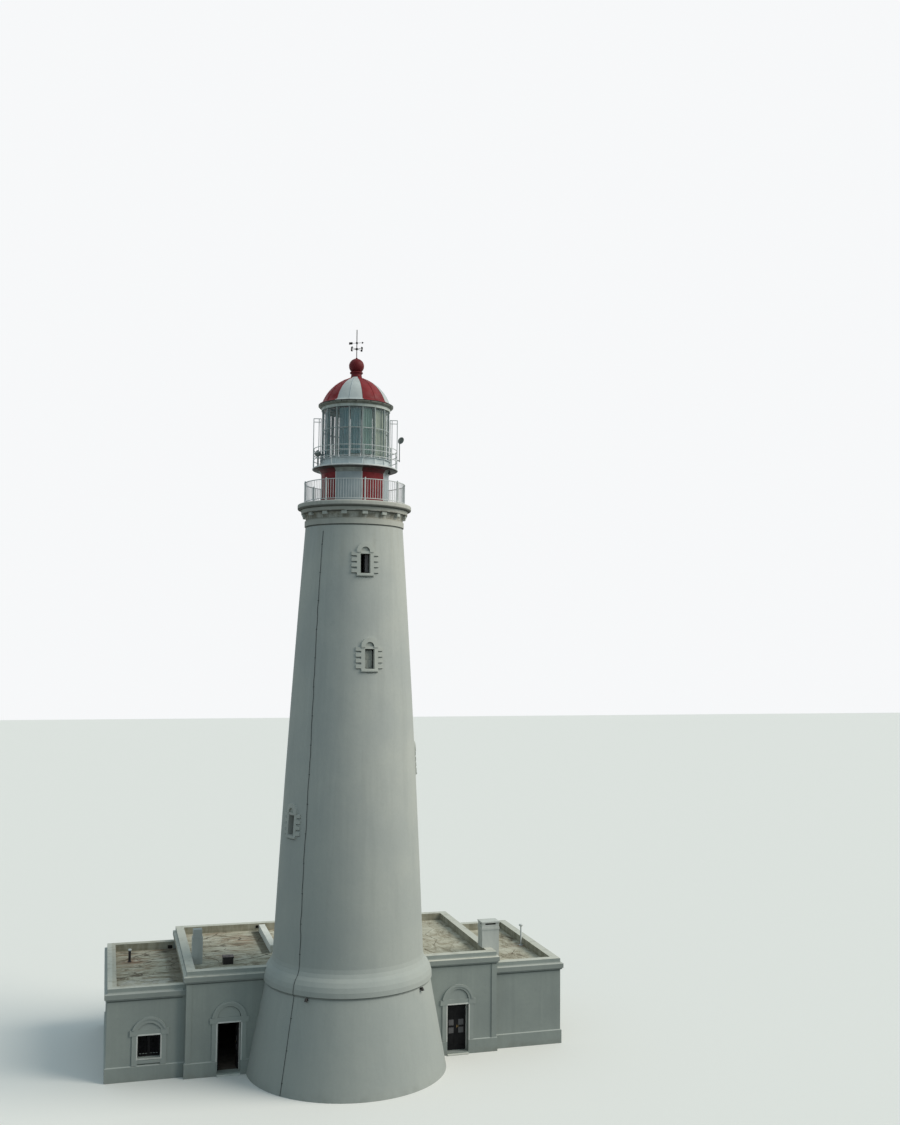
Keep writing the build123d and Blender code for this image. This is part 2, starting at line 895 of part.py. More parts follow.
# Finial: a collar with a bead, and a ball seated on it
with BuildPart() as finial:
    with BuildSketch(radial_plane(0)):
        with BuildLine():
            Polyline(
                (0, dome_top_z),
                (dome_neck_radius, dome_top_z),
                (dome_neck_radius - finial_collar_taper, collar_top_z),
                (finial_bead_radius, collar_top_z),
                (finial_bead_radius, collar_top_z + finial_bead_height),
                (dome_neck_radius - 2 * finial_collar_taper, collar_top_z + finial_bead_height),
                (0, ball_z),
                close=True,
            )
        make_face()
        with BuildLine():
            draw_ball(ball_radius, ball_z, ball_flats)
        make_face()
    revolve(axis=Axis.Z)
finish(finial, "finial")

# Mast with its knot and the four compass arms, fused where they cross
with BuildPart() as mast:
    with BuildSketch(Plane.XY.offset(ball_z)):
        Circle(mast_radius)
    extrude(amount=mast_tip_z - ball_z)
    with BuildSketch(Plane.XY.offset(compass_z - knot_height / 2)):
        Circle(knot_radius)
    extrude(amount=knot_height)
    with Locations(Location((0, 0, compass_z), (0, 0, compass_bearing))):
        Box(2 * compass_reach, compass_bar, compass_bar)
        Box(compass_bar, 2 * compass_reach, compass_bar)
        for x, y in ((compass_reach, 0), (-compass_reach, 0)):
            with Locations((x, y, 0)):
                Box(plate_thickness, compass_plate, compass_plate)
        for x, y in ((0, compass_reach), (0, -compass_reach)):
            with Locations((x, y, 0)):
                Box(compass_plate, plate_thickness, compass_plate)
    add(finial.part, mode=Mode.SUBTRACT)
finish(mast, "mast")

# Weather vane, which turns on the mast above the compass arms
with BuildPart() as weather_vane:
    with BuildSketch(Plane.XY.offset(vane_z - vane_hub_height / 2)):
        Circle(vane_hub_radius)
        Circle(mast_radius + vane_clearance, mode=Mode.SUBTRACT)
    extrude(amount=vane_hub_height)
    arm_length = vane_reach - vane_hub_radius
    arm_middle = vane_hub_radius + arm_length / 2 - vane_lap
    with BuildSketch(radial_plane(vane_bearing, vane_z)):
        with Locations((arm_middle, 0), (-arm_middle, 0)):
            Rectangle(arm_length, vane_bar)
        with Locations((vane_reach - vane_head_set, 0)):
            Triangle(a=vane_tail_height, b=vane_tail_height, c=vane_tail_height, rotation=-90)
        with Locations((-vane_reach, 0)):
            Rectangle(vane_tail_length, vane_tail_height)
    extrude(amount=plate_thickness / 2, both=True)
finish(weather_vane, "weather_vane")

# Round dish on a pole clamped to the outer post of the right-hand frame, drawn square
# to the sides and then turned to the frame's bearing
post_face_x = lantern_rail_radius + lantern_post_width / 2
dish_pole_x = post_face_x + dish_pole_offset
dish_turn = side_frame_bearings[1] - 90
with BuildPart() as dish:
    with Locations((post_face_x + dish_arm_length / 2, 0, deck_z + dish_pole_start + dish_arm_rise)):
        Box(dish_arm_length, dish_pole_radius, dish_pole_radius * 2)
    with BuildSketch(Plane.XY.offset(deck_z + dish_pole_start)):
        with Locations((dish_pole_x, 0)):
            Circle(dish_pole_radius)
    extrude(amount=dish_z - deck_z - dish_pole_start)
    facing = radians(dish_bearing - dish_turn)
    dish_middle = (dish_pole_x + dish_set, 0, dish_z)
    with BuildSketch(Plane(origin=dish_middle, z_dir=(sin(facing), -cos(facing), 0))):
        Circle(dish_radius)
    extrude(amount=dish_depth / 2, both=True)
save([Rot(0, 0, dish_turn) * dish.part], "dish")

# Round lamp on a stem beside the left-hand frame
lamp_place = (-lamp_place_radius, 0)
with BuildPart() as gallery_lamp:
    with BuildSketch(Plane.XY.offset(deck_z)):
        with Locations(lamp_place):
            Circle(lamp_stem_radius)
    extrude(amount=lamp_z - deck_z)
    with BuildSketch(Plane(origin=(*lamp_place, 0), x_dir=(1, 0, 0), z_dir=(0, -1, 0))):
        with BuildLine():
            draw_ball(lamp_radius, lamp_z, moulding_flats * 2)
        make_face()
    revolve(axis=Axis((*lamp_place, 0), (0, 0, 1)))
finish(gallery_lamp, "gallery_lamp")


def wall_section(plane, top):
    """Section of a house wall: plinth, wall face, cornice and blocking course."""
    foot = top - cornice_drop
    with BuildSketch(plane) as section:
        with BuildLine():
            l1 = Polyline(
                (-wall_thickness, 0),
                (plinth_proud, 0),
                (plinth_proud, plinth_height - plinth_splay),
                (0, plinth_height),
                (0, foot),
                (cornice_fillet, foot),
            )
            l2 = ThreePointArc(
                l1 @ 1,
                (cornice_fillet + cornice_round[0], foot + cornice_round[1]),
                (cornice_reach, foot + cornice_fillet),
            )
            Polyline(
                l2 @ 1,
                (cornice_reach, foot + cornice_height - cornice_wash),
                (0, foot + cornice_height),
                (0, top),
                (-wall_thickness, top),
                (-wall_thickness, 0),
            )
        make_face()
    return section.sketch


def block_wall(side, x0, x1, y0, y1, top):
    """One wall of a rectangular block, mitred at its corners, named by its side."""
    e, t = cornice_reach, wall_thickness
    outlines = {
        "front": [(x0 - e, y0 - e), (x1 + e, y0 - e), (x1 - t, y0 + t), (x0 + t, y0 + t)],
        "back": [(x1 + e, y1 + e), (x0 - e, y1 + e), (x0 + t, y1 - t), (x1 - t, y1 - t)],
        "left": [(x0 - e, y1 + e), (x0 - e, y0 - e), (x0 + t, y0 + t), (x0 + t, y1 - t)],
        "right": [(x1 + e, y0 - e), (x1 + e, y1 + e), (x1 - t, y1 - t), (x1 - t, y0 + t)],
    }
    planes = {
        "front": Plane(origin=(x1 + e, y0, 0), x_dir=(0, -1, 0), z_dir=(-1, 0, 0)),
        "back": Plane(origin=(x0 - e, y1, 0), x_dir=(0, 1, 0), z_dir=(1, 0, 0)),
        "left": Plane(origin=(x0, y0 - e, 0), x_dir=(-1, 0, 0), z_dir=(0, 1, 0)),
        "right": Plane(origin=(x1, y1 + e, 0), x_dir=(1, 0, 0), z_dir=(0, -1, 0)),
    }
    run = (x1 - x0 if side in ("front", "back") else y1 - y0) + 2 * e
    with BuildPart() as wall:
        extrude(wall_section(planes[side], top), amount=run)
        with BuildSketch():
            with BuildLine():
                Polyline(*outlines[side], close=True)
            make_face()
        extrude(amount=top, mode=Mode.INTERSECT)
    return wall.part


def keep_box(piece, x0, x1, y0, y1, z0, z1):
    """The piece's share of a box."""
    with BuildPart() as share:
        add(piece)
        with Locations(((x0 + x1) / 2, (y0 + y1) / 2, (z0 + z1) / 2)):
            Box(x1 - x0, y1 - y0, z1 - z0, mode=Mode.INTERSECT)
    return share.part


def cut_box(piece, x0, x1, y0, y1, z0, z1):
    """The piece without what a box takes from it."""
    with BuildPart() as rest:
        add(piece)
        with Locations(((x0 + x1) / 2, (y0 + y1) / 2, (z0 + z1) / 2)):
            Box(x1 - x0, y1 - y0, z1 - z0, mode=Mode.SUBTRACT)
    return rest.part


def split_wall(wall, openings, heads, sills):
    """Take the masonry over and under each opening off a wall, and leave its piers."""
    for x0, x1, y0, y1, sill, head in openings:
        heads.append(keep_box(wall, x0, x1, y0, y1, head, central_height))
        sills.append(keep_box(wall, x0, x1, y0, y1, 0, sill))
        wall = cut_box(wall, x0, x1, y0, y1, 0, central_height)
    return wall


def spans_at(place, width, sides):
    """Left and right edges of like openings, one on each side named."""
    return [(side * place - width / 2, side * place + width / 2) for side in sides]


heads = []
sills = []
door_spans = spans_at(door_place, door_width, (-1, 1))
central_block = (-central_half_width, central_half_width, facade_y, central_back_y, central_height)


def face_openings(spans, wall_y, sill, head):
    """Boxes of the openings in a front or back wall."""
    low, high = wall_y - wall_thickness - cornice_reach, wall_y + wall_thickness + cornice_reach
    return [(x0, x1, low, high, sill, head) for x0, x1 in spans]


# Front wall of the central block, in piers that meet the tower
wall = block_wall("front", *central_block)
with BuildPart() as trimmed:
    add(wall)
    pilaster_x = central_half_width - pilaster_width / 2
    for side in (-1, 1):
        with Locations((side * pilaster_x, facade_y - pilaster_proud / 2, 0)):
            Box(
                pilaster_width,
                pilaster_proud,
                central_height - cornice_drop + cornice_fillet,
                align=(Align.CENTER, Align.CENTER, Align.MIN),
            )
    add(tower_form.part, mode=Mode.SUBTRACT)
front_doors = face_openings(door_spans, facade_y, floor_height, door_head)
save([split_wall(trimmed.part, front_doors, heads, sills)], "central_front_wall")

# Back wall of the central block, with two windows
back_spans = spans_at(back_window_place, window_opening_width, (-1, 1))
back_cuts = face_openings(back_spans, central_back_y, window_opening_sill, window_opening_head)
wall = block_wall("back", *central_block)
save([split_wall(wall, back_cuts, heads, sills)], "central_back_wall")

# End walls of the central block, which rise above the wings, each with an inner doorway
end_walls = []
for side, name in ((-1, "left"), (1, "right")):
    wall = block_wall(name, *central_block)
    outer_x = side * (central_half_width + cornice_reach)
    x0, x1 = sorted((side * central_half_width, side * (central_half_width + 2 * cornice_reach)))
    wall = cut_box(wall, x0, x1, wing_front_y - plinth_proud, wing_back_y + plinth_proud, 0, wing_height)
    x0, x1 = sorted((side * (central_half_width - wall_thickness - cut_margin), outer_x))
    y0, y1 = inner_door_y - inner_door_width / 2, inner_door_y + inner_door_width / 2
    inner_doorway = (x0, x1, y0, y1, floor_height, inner_door_head)
    end_walls.append(split_wall(wall, [inner_doorway], heads, sills))
save(end_walls, "central_end_walls")

# Walls of the two lower wings
wing_fronts = []
wing_backs = []
wing_ends = []
for side, name in ((-1, "left"), (1, "right")):
    x0, x1 = sorted((side * wing_half_width, side * (central_half_width - 2 * wall_thickness)))
    block = (x0, x1, wing_front_y, wing_back_y, wing_height)
    span = spans_at(wing_window_place, window_opening_width, (side,))
    x0, x1 = sorted((side * central_half_width, side * (wing_half_width + cornice_reach)))
    front = keep_box(block_wall("front", *block), x0, x1, 0, central_back_y, 0, wing_height)
    if side == -1:
        cuts = face_openings(span, wing_front_y, window_opening_sill, window_opening_head)
        front = split_wall(front, cuts, heads, sills)
    wing_fronts.append(front)
    back = keep_box(block_wall("back", *block), x0, x1, 0, 2 * central_back_y, 0, wing_height)
    cuts = face_openings(span, wing_back_y, window_opening_sill, window_opening_head)
    wing_backs.append(split_wall(back, cuts, heads, sills))
    wing_ends.append(block_wall(name, *block))
save(wing_fronts, "wing_front_walls")
save(wing_backs, "wing_back_walls")
save(wing_ends, "wing_end_walls")
save(heads, "opening_heads")
save(sills, "opening_sills")

# Floors inside the walls, and the flat roofs sunk behind their parapets
inner_x = central_half_width - wall_thickness
inner_y0, inner_y1 = facade_y + wall_thickness, central_back_y - wall_thickness
wing_outer = wing_half_width - wall_thickness
wing_y0, wing_y1 = wing_front_y + wall_thickness, wing_back_y - wall_thickness


def slab(central, top, thickness):
    """Level slab inside the central block's walls or inside both wings' walls."""
    with BuildPart() as plate:
        with BuildSketch(Plane.XY.offset(top - thickness)):
            if central:
                with Locations((0, (inner_y0 + inner_y1) / 2)):
                    Rectangle(2 * inner_x, inner_y1 - inner_y0)
            else:
                for side in (-1, 1):
                    middle_x = side * (wing_outer + central_half_width) / 2
                    with Locations((middle_x, (wing_y0 + wing_y1) / 2)):
                        Rectangle(wing_outer - central_half_width, wing_y1 - wing_y0)
        extrude(amount=thickness)
        if central:
            add(tower_form.part, mode=Mode.SUBTRACT)
    return plate.part


central_floor = slab(True, floor_height, floor_height)
wing_floors = slab(False, floor_height, floor_height)
save([central_floor, wing_floors], "house_floors")
save([slab(True, central_roof_z, roof_thickness)], "central_roof")
save([slab(False, wing_roof_z, roof_thickness)], "wing_roofs")

# The house's openings: span, wall, way it faces (-1 front, 1 back), head, hood and tympanum
door_arch = (door_head, door_hood_rise, door_tympanum_rise)
window_arch = (window_opening_head, window_hood_rise, window_tympanum_rise)
wing_back_spans = spans_at(wing_window_place, window_opening_width, (-1, 1))
doorways = [(span, facade_y, -1, *door_arch) for span in door_spans]
windows = [(span, wing_front_y, -1, *window_arch) for span in wing_back_spans[:1]]
windows += [(span, central_back_y, 1, *window_arch) for span in back_spans]
windows += [(span, wing_back_y, 1, *window_arch) for span in wing_back_spans]


def face_plane(middle, wall_y, outward):
    """Plane of a front (-1) or back (1) wall at an opening's middle, looking outwards."""
    return Plane(origin=(middle, wall_y, 0), x_dir=(-outward, 0, 0), z_dir=(0, outward, 0))


# Raised jambs at the sides of the openings
with BuildPart() as opening_jambs:
    for (x0, x1), wall_y, outward, head, hood, tympanum in doorways + windows:
        jamb_height = head - plinth_height
        jamb_x = (x1 - x0 + jamb_width) / 2
        with BuildSketch(face_plane((x0 + x1) / 2, wall_y, outward)):
            for side in (-1, 1):
                with Locations((side * jamb_x, plinth_height + jamb_height / 2)):
                    Rectangle(jamb_width, jamb_height)
        extrude(amount=jamb_proud)
finish(opening_jambs, "opening_jambs")

# Arched heads over them, each a stepped archivolt with a band, imposts and a tympanum
with BuildPart() as opening_arches:
    for (x0, x1), wall_y, outward, head, hood, tympanum in doorways + windows:
        half = (x1 - x0) / 2
        spring = head + band_height
        plane = face_plane((x0 + x1) / 2, wall_y, outward)
        with BuildSketch(plane):
            with BuildLine():
                draw_arch(half + jamb_width, head, spring, hood)
            make_face()
            with BuildLine():
                draw_arch(half, head - cut_margin, spring, tympanum)
            make_face(mode=Mode.SUBTRACT)
            impost_x = half + jamb_width + impost_reach / 2
            for side in (-1, 1):
                with Locations((side * impost_x, head + band_height / 2)):
                    Rectangle(impost_reach, band_height)
        extrude(amount=arch_proud - arch_step)
        with BuildSketch(plane):
            with BuildLine():
                draw_arch(half + jamb_width, spring, spring, hood)
            make_face()
            with BuildLine():
                draw_arch(half + jamb_width - arch_roll, spring - cut_margin, spring, hood - arch_roll)
            make_face(mode=Mode.SUBTRACT)
        extrude(amount=arch_proud)
        with BuildSketch(plane):
            with Locations((0, head + band_height / 2)):
                Rectangle(2 * (half + jamb_width), band_height)
        extrude(amount=jamb_proud)
        with BuildSketch(plane):
            with BuildLine():
                draw_arch(half, spring - cut_margin, spring, tympanum)
            make_face()
        extrude(amount=plate_thickness)
finish(opening_arches, "opening_arches")

# Frames and steps of the two front doorways
jamb_y = facade_y + frame_setback
hinge_reach = door_width / 2 - frame_width - leaf_gap / 2
hinge_y = jamb_y + frame_depth + hinge_barrel_radius
leaf_width = hinge_reach - leaf_gap
leaf_foot = floor_height + leaf_gap
leaf_height = door_head - frame_width - leaf_gap - leaf_foot


def draw_knuckle(way):
    """Plan of a hinge knuckle about its pin, with its plate reaching one way."""
    Circle(hinge_barrel_radius)
    plate_y = hinge_plate_thickness / 2 - hinge_barrel_radius
    with Locations((way * hinge_plate_reach / 2, plate_y)):
        Rectangle(hinge_plate_reach, hinge_plate_thickness)


# Posts with the lower halves of the hinges and the pins that the leaves lift on to
with BuildPart() as door_posts:
    for side in (-1, 1):
        for edge in (-1, 1):
            hinge_x = side * door_place + edge * hinge_reach
            x = side * door_place + edge * (door_width - frame_width) / 2
            with BuildSketch(Plane.XY.offset(floor_height)):
                with Locations((x, jamb_y + frame_depth / 2)):
                    Rectangle(frame_width, frame_depth)
            extrude(amount=door_head - floor_height)
            for height in hinge_heights:
                foot = Plane(origin=(hinge_x, hinge_y, leaf_foot + height))
                with BuildSketch(foot):
                    draw_knuckle(edge)
                extrude(amount=knuckle_height)
                with BuildSketch(foot.offset(knuckle_height)):
                    Circle(hinge_pin_radius)
                extrude(amount=knuckle_height)
finish(door_posts, "door_posts")

with BuildPart() as door_rails:
    for side in (-1, 1):
        with BuildSketch(Plane.XY.offset(door_head - frame_width)):
            with Locations((side * door_place, jamb_y + frame_depth / 2)):
                Rectangle(door_width - 2 * frame_width, frame_depth)
        extrude(amount=frame_width)
finish(door_rails, "door_rails")

with BuildPart() as door_steps:
    for side in (-1, 1):
        with BuildSketch():
            with Locations((side * door_place, facade_y - plinth_proud - threshold_reach / 2)):
                Rectangle(door_width, threshold_reach)
        extrude(amount=threshold_height)
finish(door_steps, "door_steps")


def door_leaf(side, edge, swing):
    """One leaf of a double door: side of the house, edge it hangs on, angle it stands at."""
    middle_x = -edge * (leaf_gap + leaf_width) / 2
    back_y = -hinge_barrel_radius
    with BuildPart() as leaf:
        with BuildSketch():
            with Locations((middle_x, back_y - leaf_thickness / 2)):
                Rectangle(leaf_width, leaf_thickness)
        extrude(amount=leaf_height)
        for face_y in (back_y - leaf_thickness, back_y):
            for middle_z, height in leaf_recesses:
                with Locations((middle_x, face_y, middle_z)):
                    Box(leaf_pane_width, 2 * leaf_pane_recess, height, mode=Mode.SUBTRACT)
        for height in hinge_heights:
            with BuildSketch(Plane.XY.offset(height + knuckle_height + hinge_clearance)):
                draw_knuckle(-edge)
                Circle(hinge_pin_radius + hinge_clearance, mode=Mode.SUBTRACT)
            extrude(amount=knuckle_height)
    placed = Rot(0, 0, -edge * swing) * leaf.part
    return Pos(side * door_place + edge * hinge_reach, hinge_y, leaf_foot) * placed


# Door leaves, hinged on the posts and opening inwards: the left pair stands open
for side, house_side, swing in ((-1, "left", left_leaf_angle), (1, "right", 0)):
    for edge, leaf_side in ((-1, "left"), (1, "right")):
        save([door_leaf(side, edge, swing)], house_side + "_door_" + leaf_side + "_leaf")

# Sashes of the house windows, each a frame with its pane
light_height = window_opening_head - window_opening_sill
light_z = (window_opening_head + window_opening_sill) / 2
with BuildPart() as house_sashes:
    for (x0, x1), wall_y, outward, head, hood, tympanum in windows:
        setback = Plane(
            origin=((x0 + x1) / 2, wall_y - outward * frame_setback, light_z),
            x_dir=(-outward, 0, 0),
            z_dir=(0, -outward, 0),
        )
        with BuildSketch(setback):
            Rectangle(x1 - x0, light_height)
            Rectangle(x1 - x0 - 2 * sash_bar, light_height - 2 * sash_bar, mode=Mode.SUBTRACT)
            Rectangle(sash_bar, light_height - 2 * sash_bar)
        extrude(amount=sash_thickness)
        with BuildSketch(setback.offset(sash_thickness / 2)):
            Rectangle(x1 - x0 - sash_bar, light_height - sash_bar)
        extrude(amount=house_pane_thickness)
finish(house_sashes, "house_sashes")


# Left chimney: a rendered shaft on the roof, drawn in to a low square pot
with BuildPart() as left_chimney:
    for inset, low, high in (
        (0, central_roof_z, chimney_top_z - pot_height),
        (pot_inset, chimney_top_z - pot_height, chimney_top_z),
    ):
        with BuildSketch(Plane.XY.offset(low)):
            with Locations(left_chimney_place):
                Rectangle(left_chimney_size[0] - inset, left_chimney_size[1] - inset)
        extrude(amount=high - low)

# Right chimney: it stands astride the end wall, down to the wing's roof on its far side,
# with a band, a flat cap and flue slots sunk in its front and back
chimney_x, chimney_y = right_chimney_place
chimney_width, chimney_depth = right_chimney_size
with BuildPart() as right_chimney:
    for grow, low, high in (
        (0, central_height, chimney_top_z),
        (chimney_band_reach, chimney_band_z, chimney_band_z + chimney_band_height),
        (chimney_cap_reach, chimney_top_z - chimney_cap_height, chimney_top_z),
    ):
        with BuildSketch(Plane.XY.offset(low)):
            with Locations(right_chimney_place):
                Rectangle(chimney_width + 2 * grow, chimney_depth + 2 * grow)
        extrude(amount=high - low)
    leg_width = chimney_x + chimney_width / 2 - central_half_width
    with BuildSketch(Plane.XY.offset(wing_roof_z)):
        with Locations((central_half_width + leg_width / 2, chimney_y)):
            Rectangle(leg_width, chimney_depth)
    extrude(amount=central_height - wing_roof_z)
    for wall in end_walls:
        add(wall, mode=Mode.SUBTRACT)
    slot_z = chimney_top_z - chimney_cap_height - flue_slot_height / 2
    slot_y = (chimney_depth - flue_slot_depth) / 2
    for way in (-1, 1):
        with Locations((chimney_x, chimney_y + way * slot_y, slot_z)):
            Box(chimney_width * flue_slot_share, flue_slot_depth, flue_slot_height, mode=Mode.SUBTRACT)
save([left_chimney.part, right_chimney.part], "chimneys")

# Hatch and low upstand on the central roof
with BuildPart() as roof_hatch:
    with BuildSketch(Plane.XY.offset(central_roof_z)):
        with Locations(hatch_place):
            Rectangle(hatch_size, hatch_size)
    extrude(amount=hatch_height)
finish(roof_hatch, "roof_hatch")

with BuildPart() as roof_upstand:
    with BuildSketch(Plane.XY.offset(central_roof_z)):
        with Locations(upstand_place):
            Rectangle(*upstand_size)
    extrude(amount=upstand_height)
finish(roof_upstand, "roof_upstand")

# Vent pipes on the wing roofs
with BuildPart() as roof_vents:
    for place, height in ((left_vent_place, left_vent_height), (right_vent_place, right_vent_height)):
        with BuildSketch(Plane.XY.offset(wing_roof_z)):
            with Locations(place):
                Circle(vent_radius)
        extrude(amount=height)
        with BuildSketch(Plane.XY.offset(wing_roof_z + height - vent_cap_height)):
            with Locations(place):
                Circle(vent_cap_radius)
        extrude(amount=vent_cap_height)
finish(roof_vents, "roof_vents")
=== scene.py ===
import json
import math
import random

import bmesh
import bpy
from mathutils import Matrix, Vector


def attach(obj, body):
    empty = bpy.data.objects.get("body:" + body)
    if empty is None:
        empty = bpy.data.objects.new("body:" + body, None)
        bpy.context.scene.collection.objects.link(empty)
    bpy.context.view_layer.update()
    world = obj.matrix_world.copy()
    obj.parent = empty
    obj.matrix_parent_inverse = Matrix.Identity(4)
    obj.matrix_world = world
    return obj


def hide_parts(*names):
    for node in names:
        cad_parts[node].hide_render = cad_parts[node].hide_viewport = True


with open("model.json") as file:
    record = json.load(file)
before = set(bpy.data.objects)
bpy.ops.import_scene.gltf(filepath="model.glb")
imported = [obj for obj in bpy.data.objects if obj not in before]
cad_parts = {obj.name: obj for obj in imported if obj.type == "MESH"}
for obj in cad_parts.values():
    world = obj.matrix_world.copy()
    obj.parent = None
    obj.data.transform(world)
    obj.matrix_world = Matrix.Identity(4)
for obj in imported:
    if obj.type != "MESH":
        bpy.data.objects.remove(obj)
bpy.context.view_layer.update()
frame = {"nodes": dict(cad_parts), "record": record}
nodes = frame["nodes"]
rad = math.radians
move = Matrix.Translation

# ---------------------------------------------------------------- sizes, in metres
BASE_TOP = 3.95
GALLERY = 25.31
DECK = 27.03
CURB_TOP = 27.41
PANE_TOP = 29.73
GUTTER_TOP = 30.00
DOME_FOOT = 30.03
FLARE_TOP = 30.14
DOME_TOP = 31.37
COLLAR_TOP = 31.56
BALL = 31.921
CENTRAL_ROOF = 4.19
WING_ROOF = 3.60
DECK_RAIL = 1.945
DOOR_HEAD = 2.25
DOOR_X, DOOR_WALL = 5.25, 0.15
DOOR_OPEN = 85
HINGE_Y = 0.489
LEAF_LIFT = 0.116
WINDOW_MIDDLE = 1.415
CHIMNEY_X, CHIMNEY_Y, FLUE_TOP = 7.09, 1.27, 5.6375
GROUND_RADIUS, RING_RADIUS = 4.48, 3.715
GALLERY_RAIL = 2.325
MULLION_RADIUS = 1.587
CURTAIN_RADIUS = 1.405
BAY = 22.5  # degrees from one mullion to the next
CONDUCTOR = -49.5  # bearing of the strap on the shaft
AXIS = 0.0001  # radius at which a turned profile closes
SIDE_BEARING = 78.75
TOWER_WINDOWS = ((1, 22.49), (5, 18.26), (-67.5, 10.94), (90, 13.5), (172, 16.1), (172, 20.4))
HOUSE_WINDOWS = ((-8.65, 0.43, -1), (-4.6, 8.95, 1), (4.6, 8.95, 1), (-8.65, 8.67, 1), (8.65, 8.67, 1))
LEFT_VENT = Vector((-9.42, 6.19, WING_ROOF))
RIGHT_VENT = Vector((9.93, 4.60, WING_ROOF))

# ---------------------------------------------------------------- camera and light
yaw, pitch, roll = rad(16.142), rad(4.142), rad(0.478)
look = Vector((math.sin(yaw) * math.cos(pitch), math.cos(yaw) * math.cos(pitch), math.sin(pitch)))
right = Vector((math.cos(yaw), -math.sin(yaw), 0))
over = right.cross(look)
cam_x = right * math.cos(roll) + over * math.sin(roll)
cam_y = over * math.cos(roll) - right * math.sin(roll)
camera_data = bpy.data.cameras.new("photo_camera")
camera_data.lens = 37.76
camera_data.sensor_width = 36
camera_data.clip_end = 600
camera = bpy.data.objects.new("photo_camera", camera_data)
place = Matrix((cam_x, cam_y, -look)).transposed().to_4x4()
place.translation = (-10.89, -53.68, 18.77)
camera.matrix_world = place
bpy.context.collection.objects.link(camera)
bpy.context.scene.camera = camera
bpy.context.scene.view_settings.view_transform = "Standard"

sun_data = bpy.data.lights.new("key", "SUN")
sun_data.energy = 2.6
sun_data.angle = rad(40)
sun_data.color = (1.0, 0.94, 0.82)
sun = bpy.data.objects.new("key", sun_data)
sun.rotation_euler = Vector((0.73, -0.31, 0.60)).to_track_quat("Z", "Y").to_euler()
bpy.context.collection.objects.link(sun)


def seen_directly(tree):
    """1 for the rays that show the backdrop itself, 0 for the light that it gives."""
    path = tree.nodes.new("ShaderNodeLightPath")
    value = path.outputs["Is Camera Ray"]
    for name in ("Is Glossy Ray", "Is Transmission Ray"):
        most = tree.nodes.new("ShaderNodeMath")
        most.operation = "MAXIMUM"
        tree.links.new(value, most.inputs[0])
        tree.links.new(path.outputs[name], most.inputs[1])
        value = most.outputs[0]
    return value


world = bpy.data.worlds.new("studio")
bpy.context.scene.world = world
world.use_nodes = True
sky = world.node_tree
sky.nodes.clear()
sky_out = sky.nodes.new("ShaderNodeOutputWorld")
sky_mix = sky.nodes.new("ShaderNodeMixShader")
sky.links.new(seen_directly(sky), sky_mix.inputs["Fac"])
for slot, colour, strength in ((1, (0.76, 0.94, 1.0, 1), 0.50), (2, (0.93, 0.94, 0.95, 1), 1.0)):
    glow = sky.nodes.new("ShaderNodeBackground")
    glow.inputs["Color"].default_value = colour
    glow.inputs["Strength"].default_value = strength
    sky.links.new(glow.outputs[0], sky_mix.inputs[slot])
sky.links.new(sky_mix.outputs[0], sky_out.inputs["Surface"])


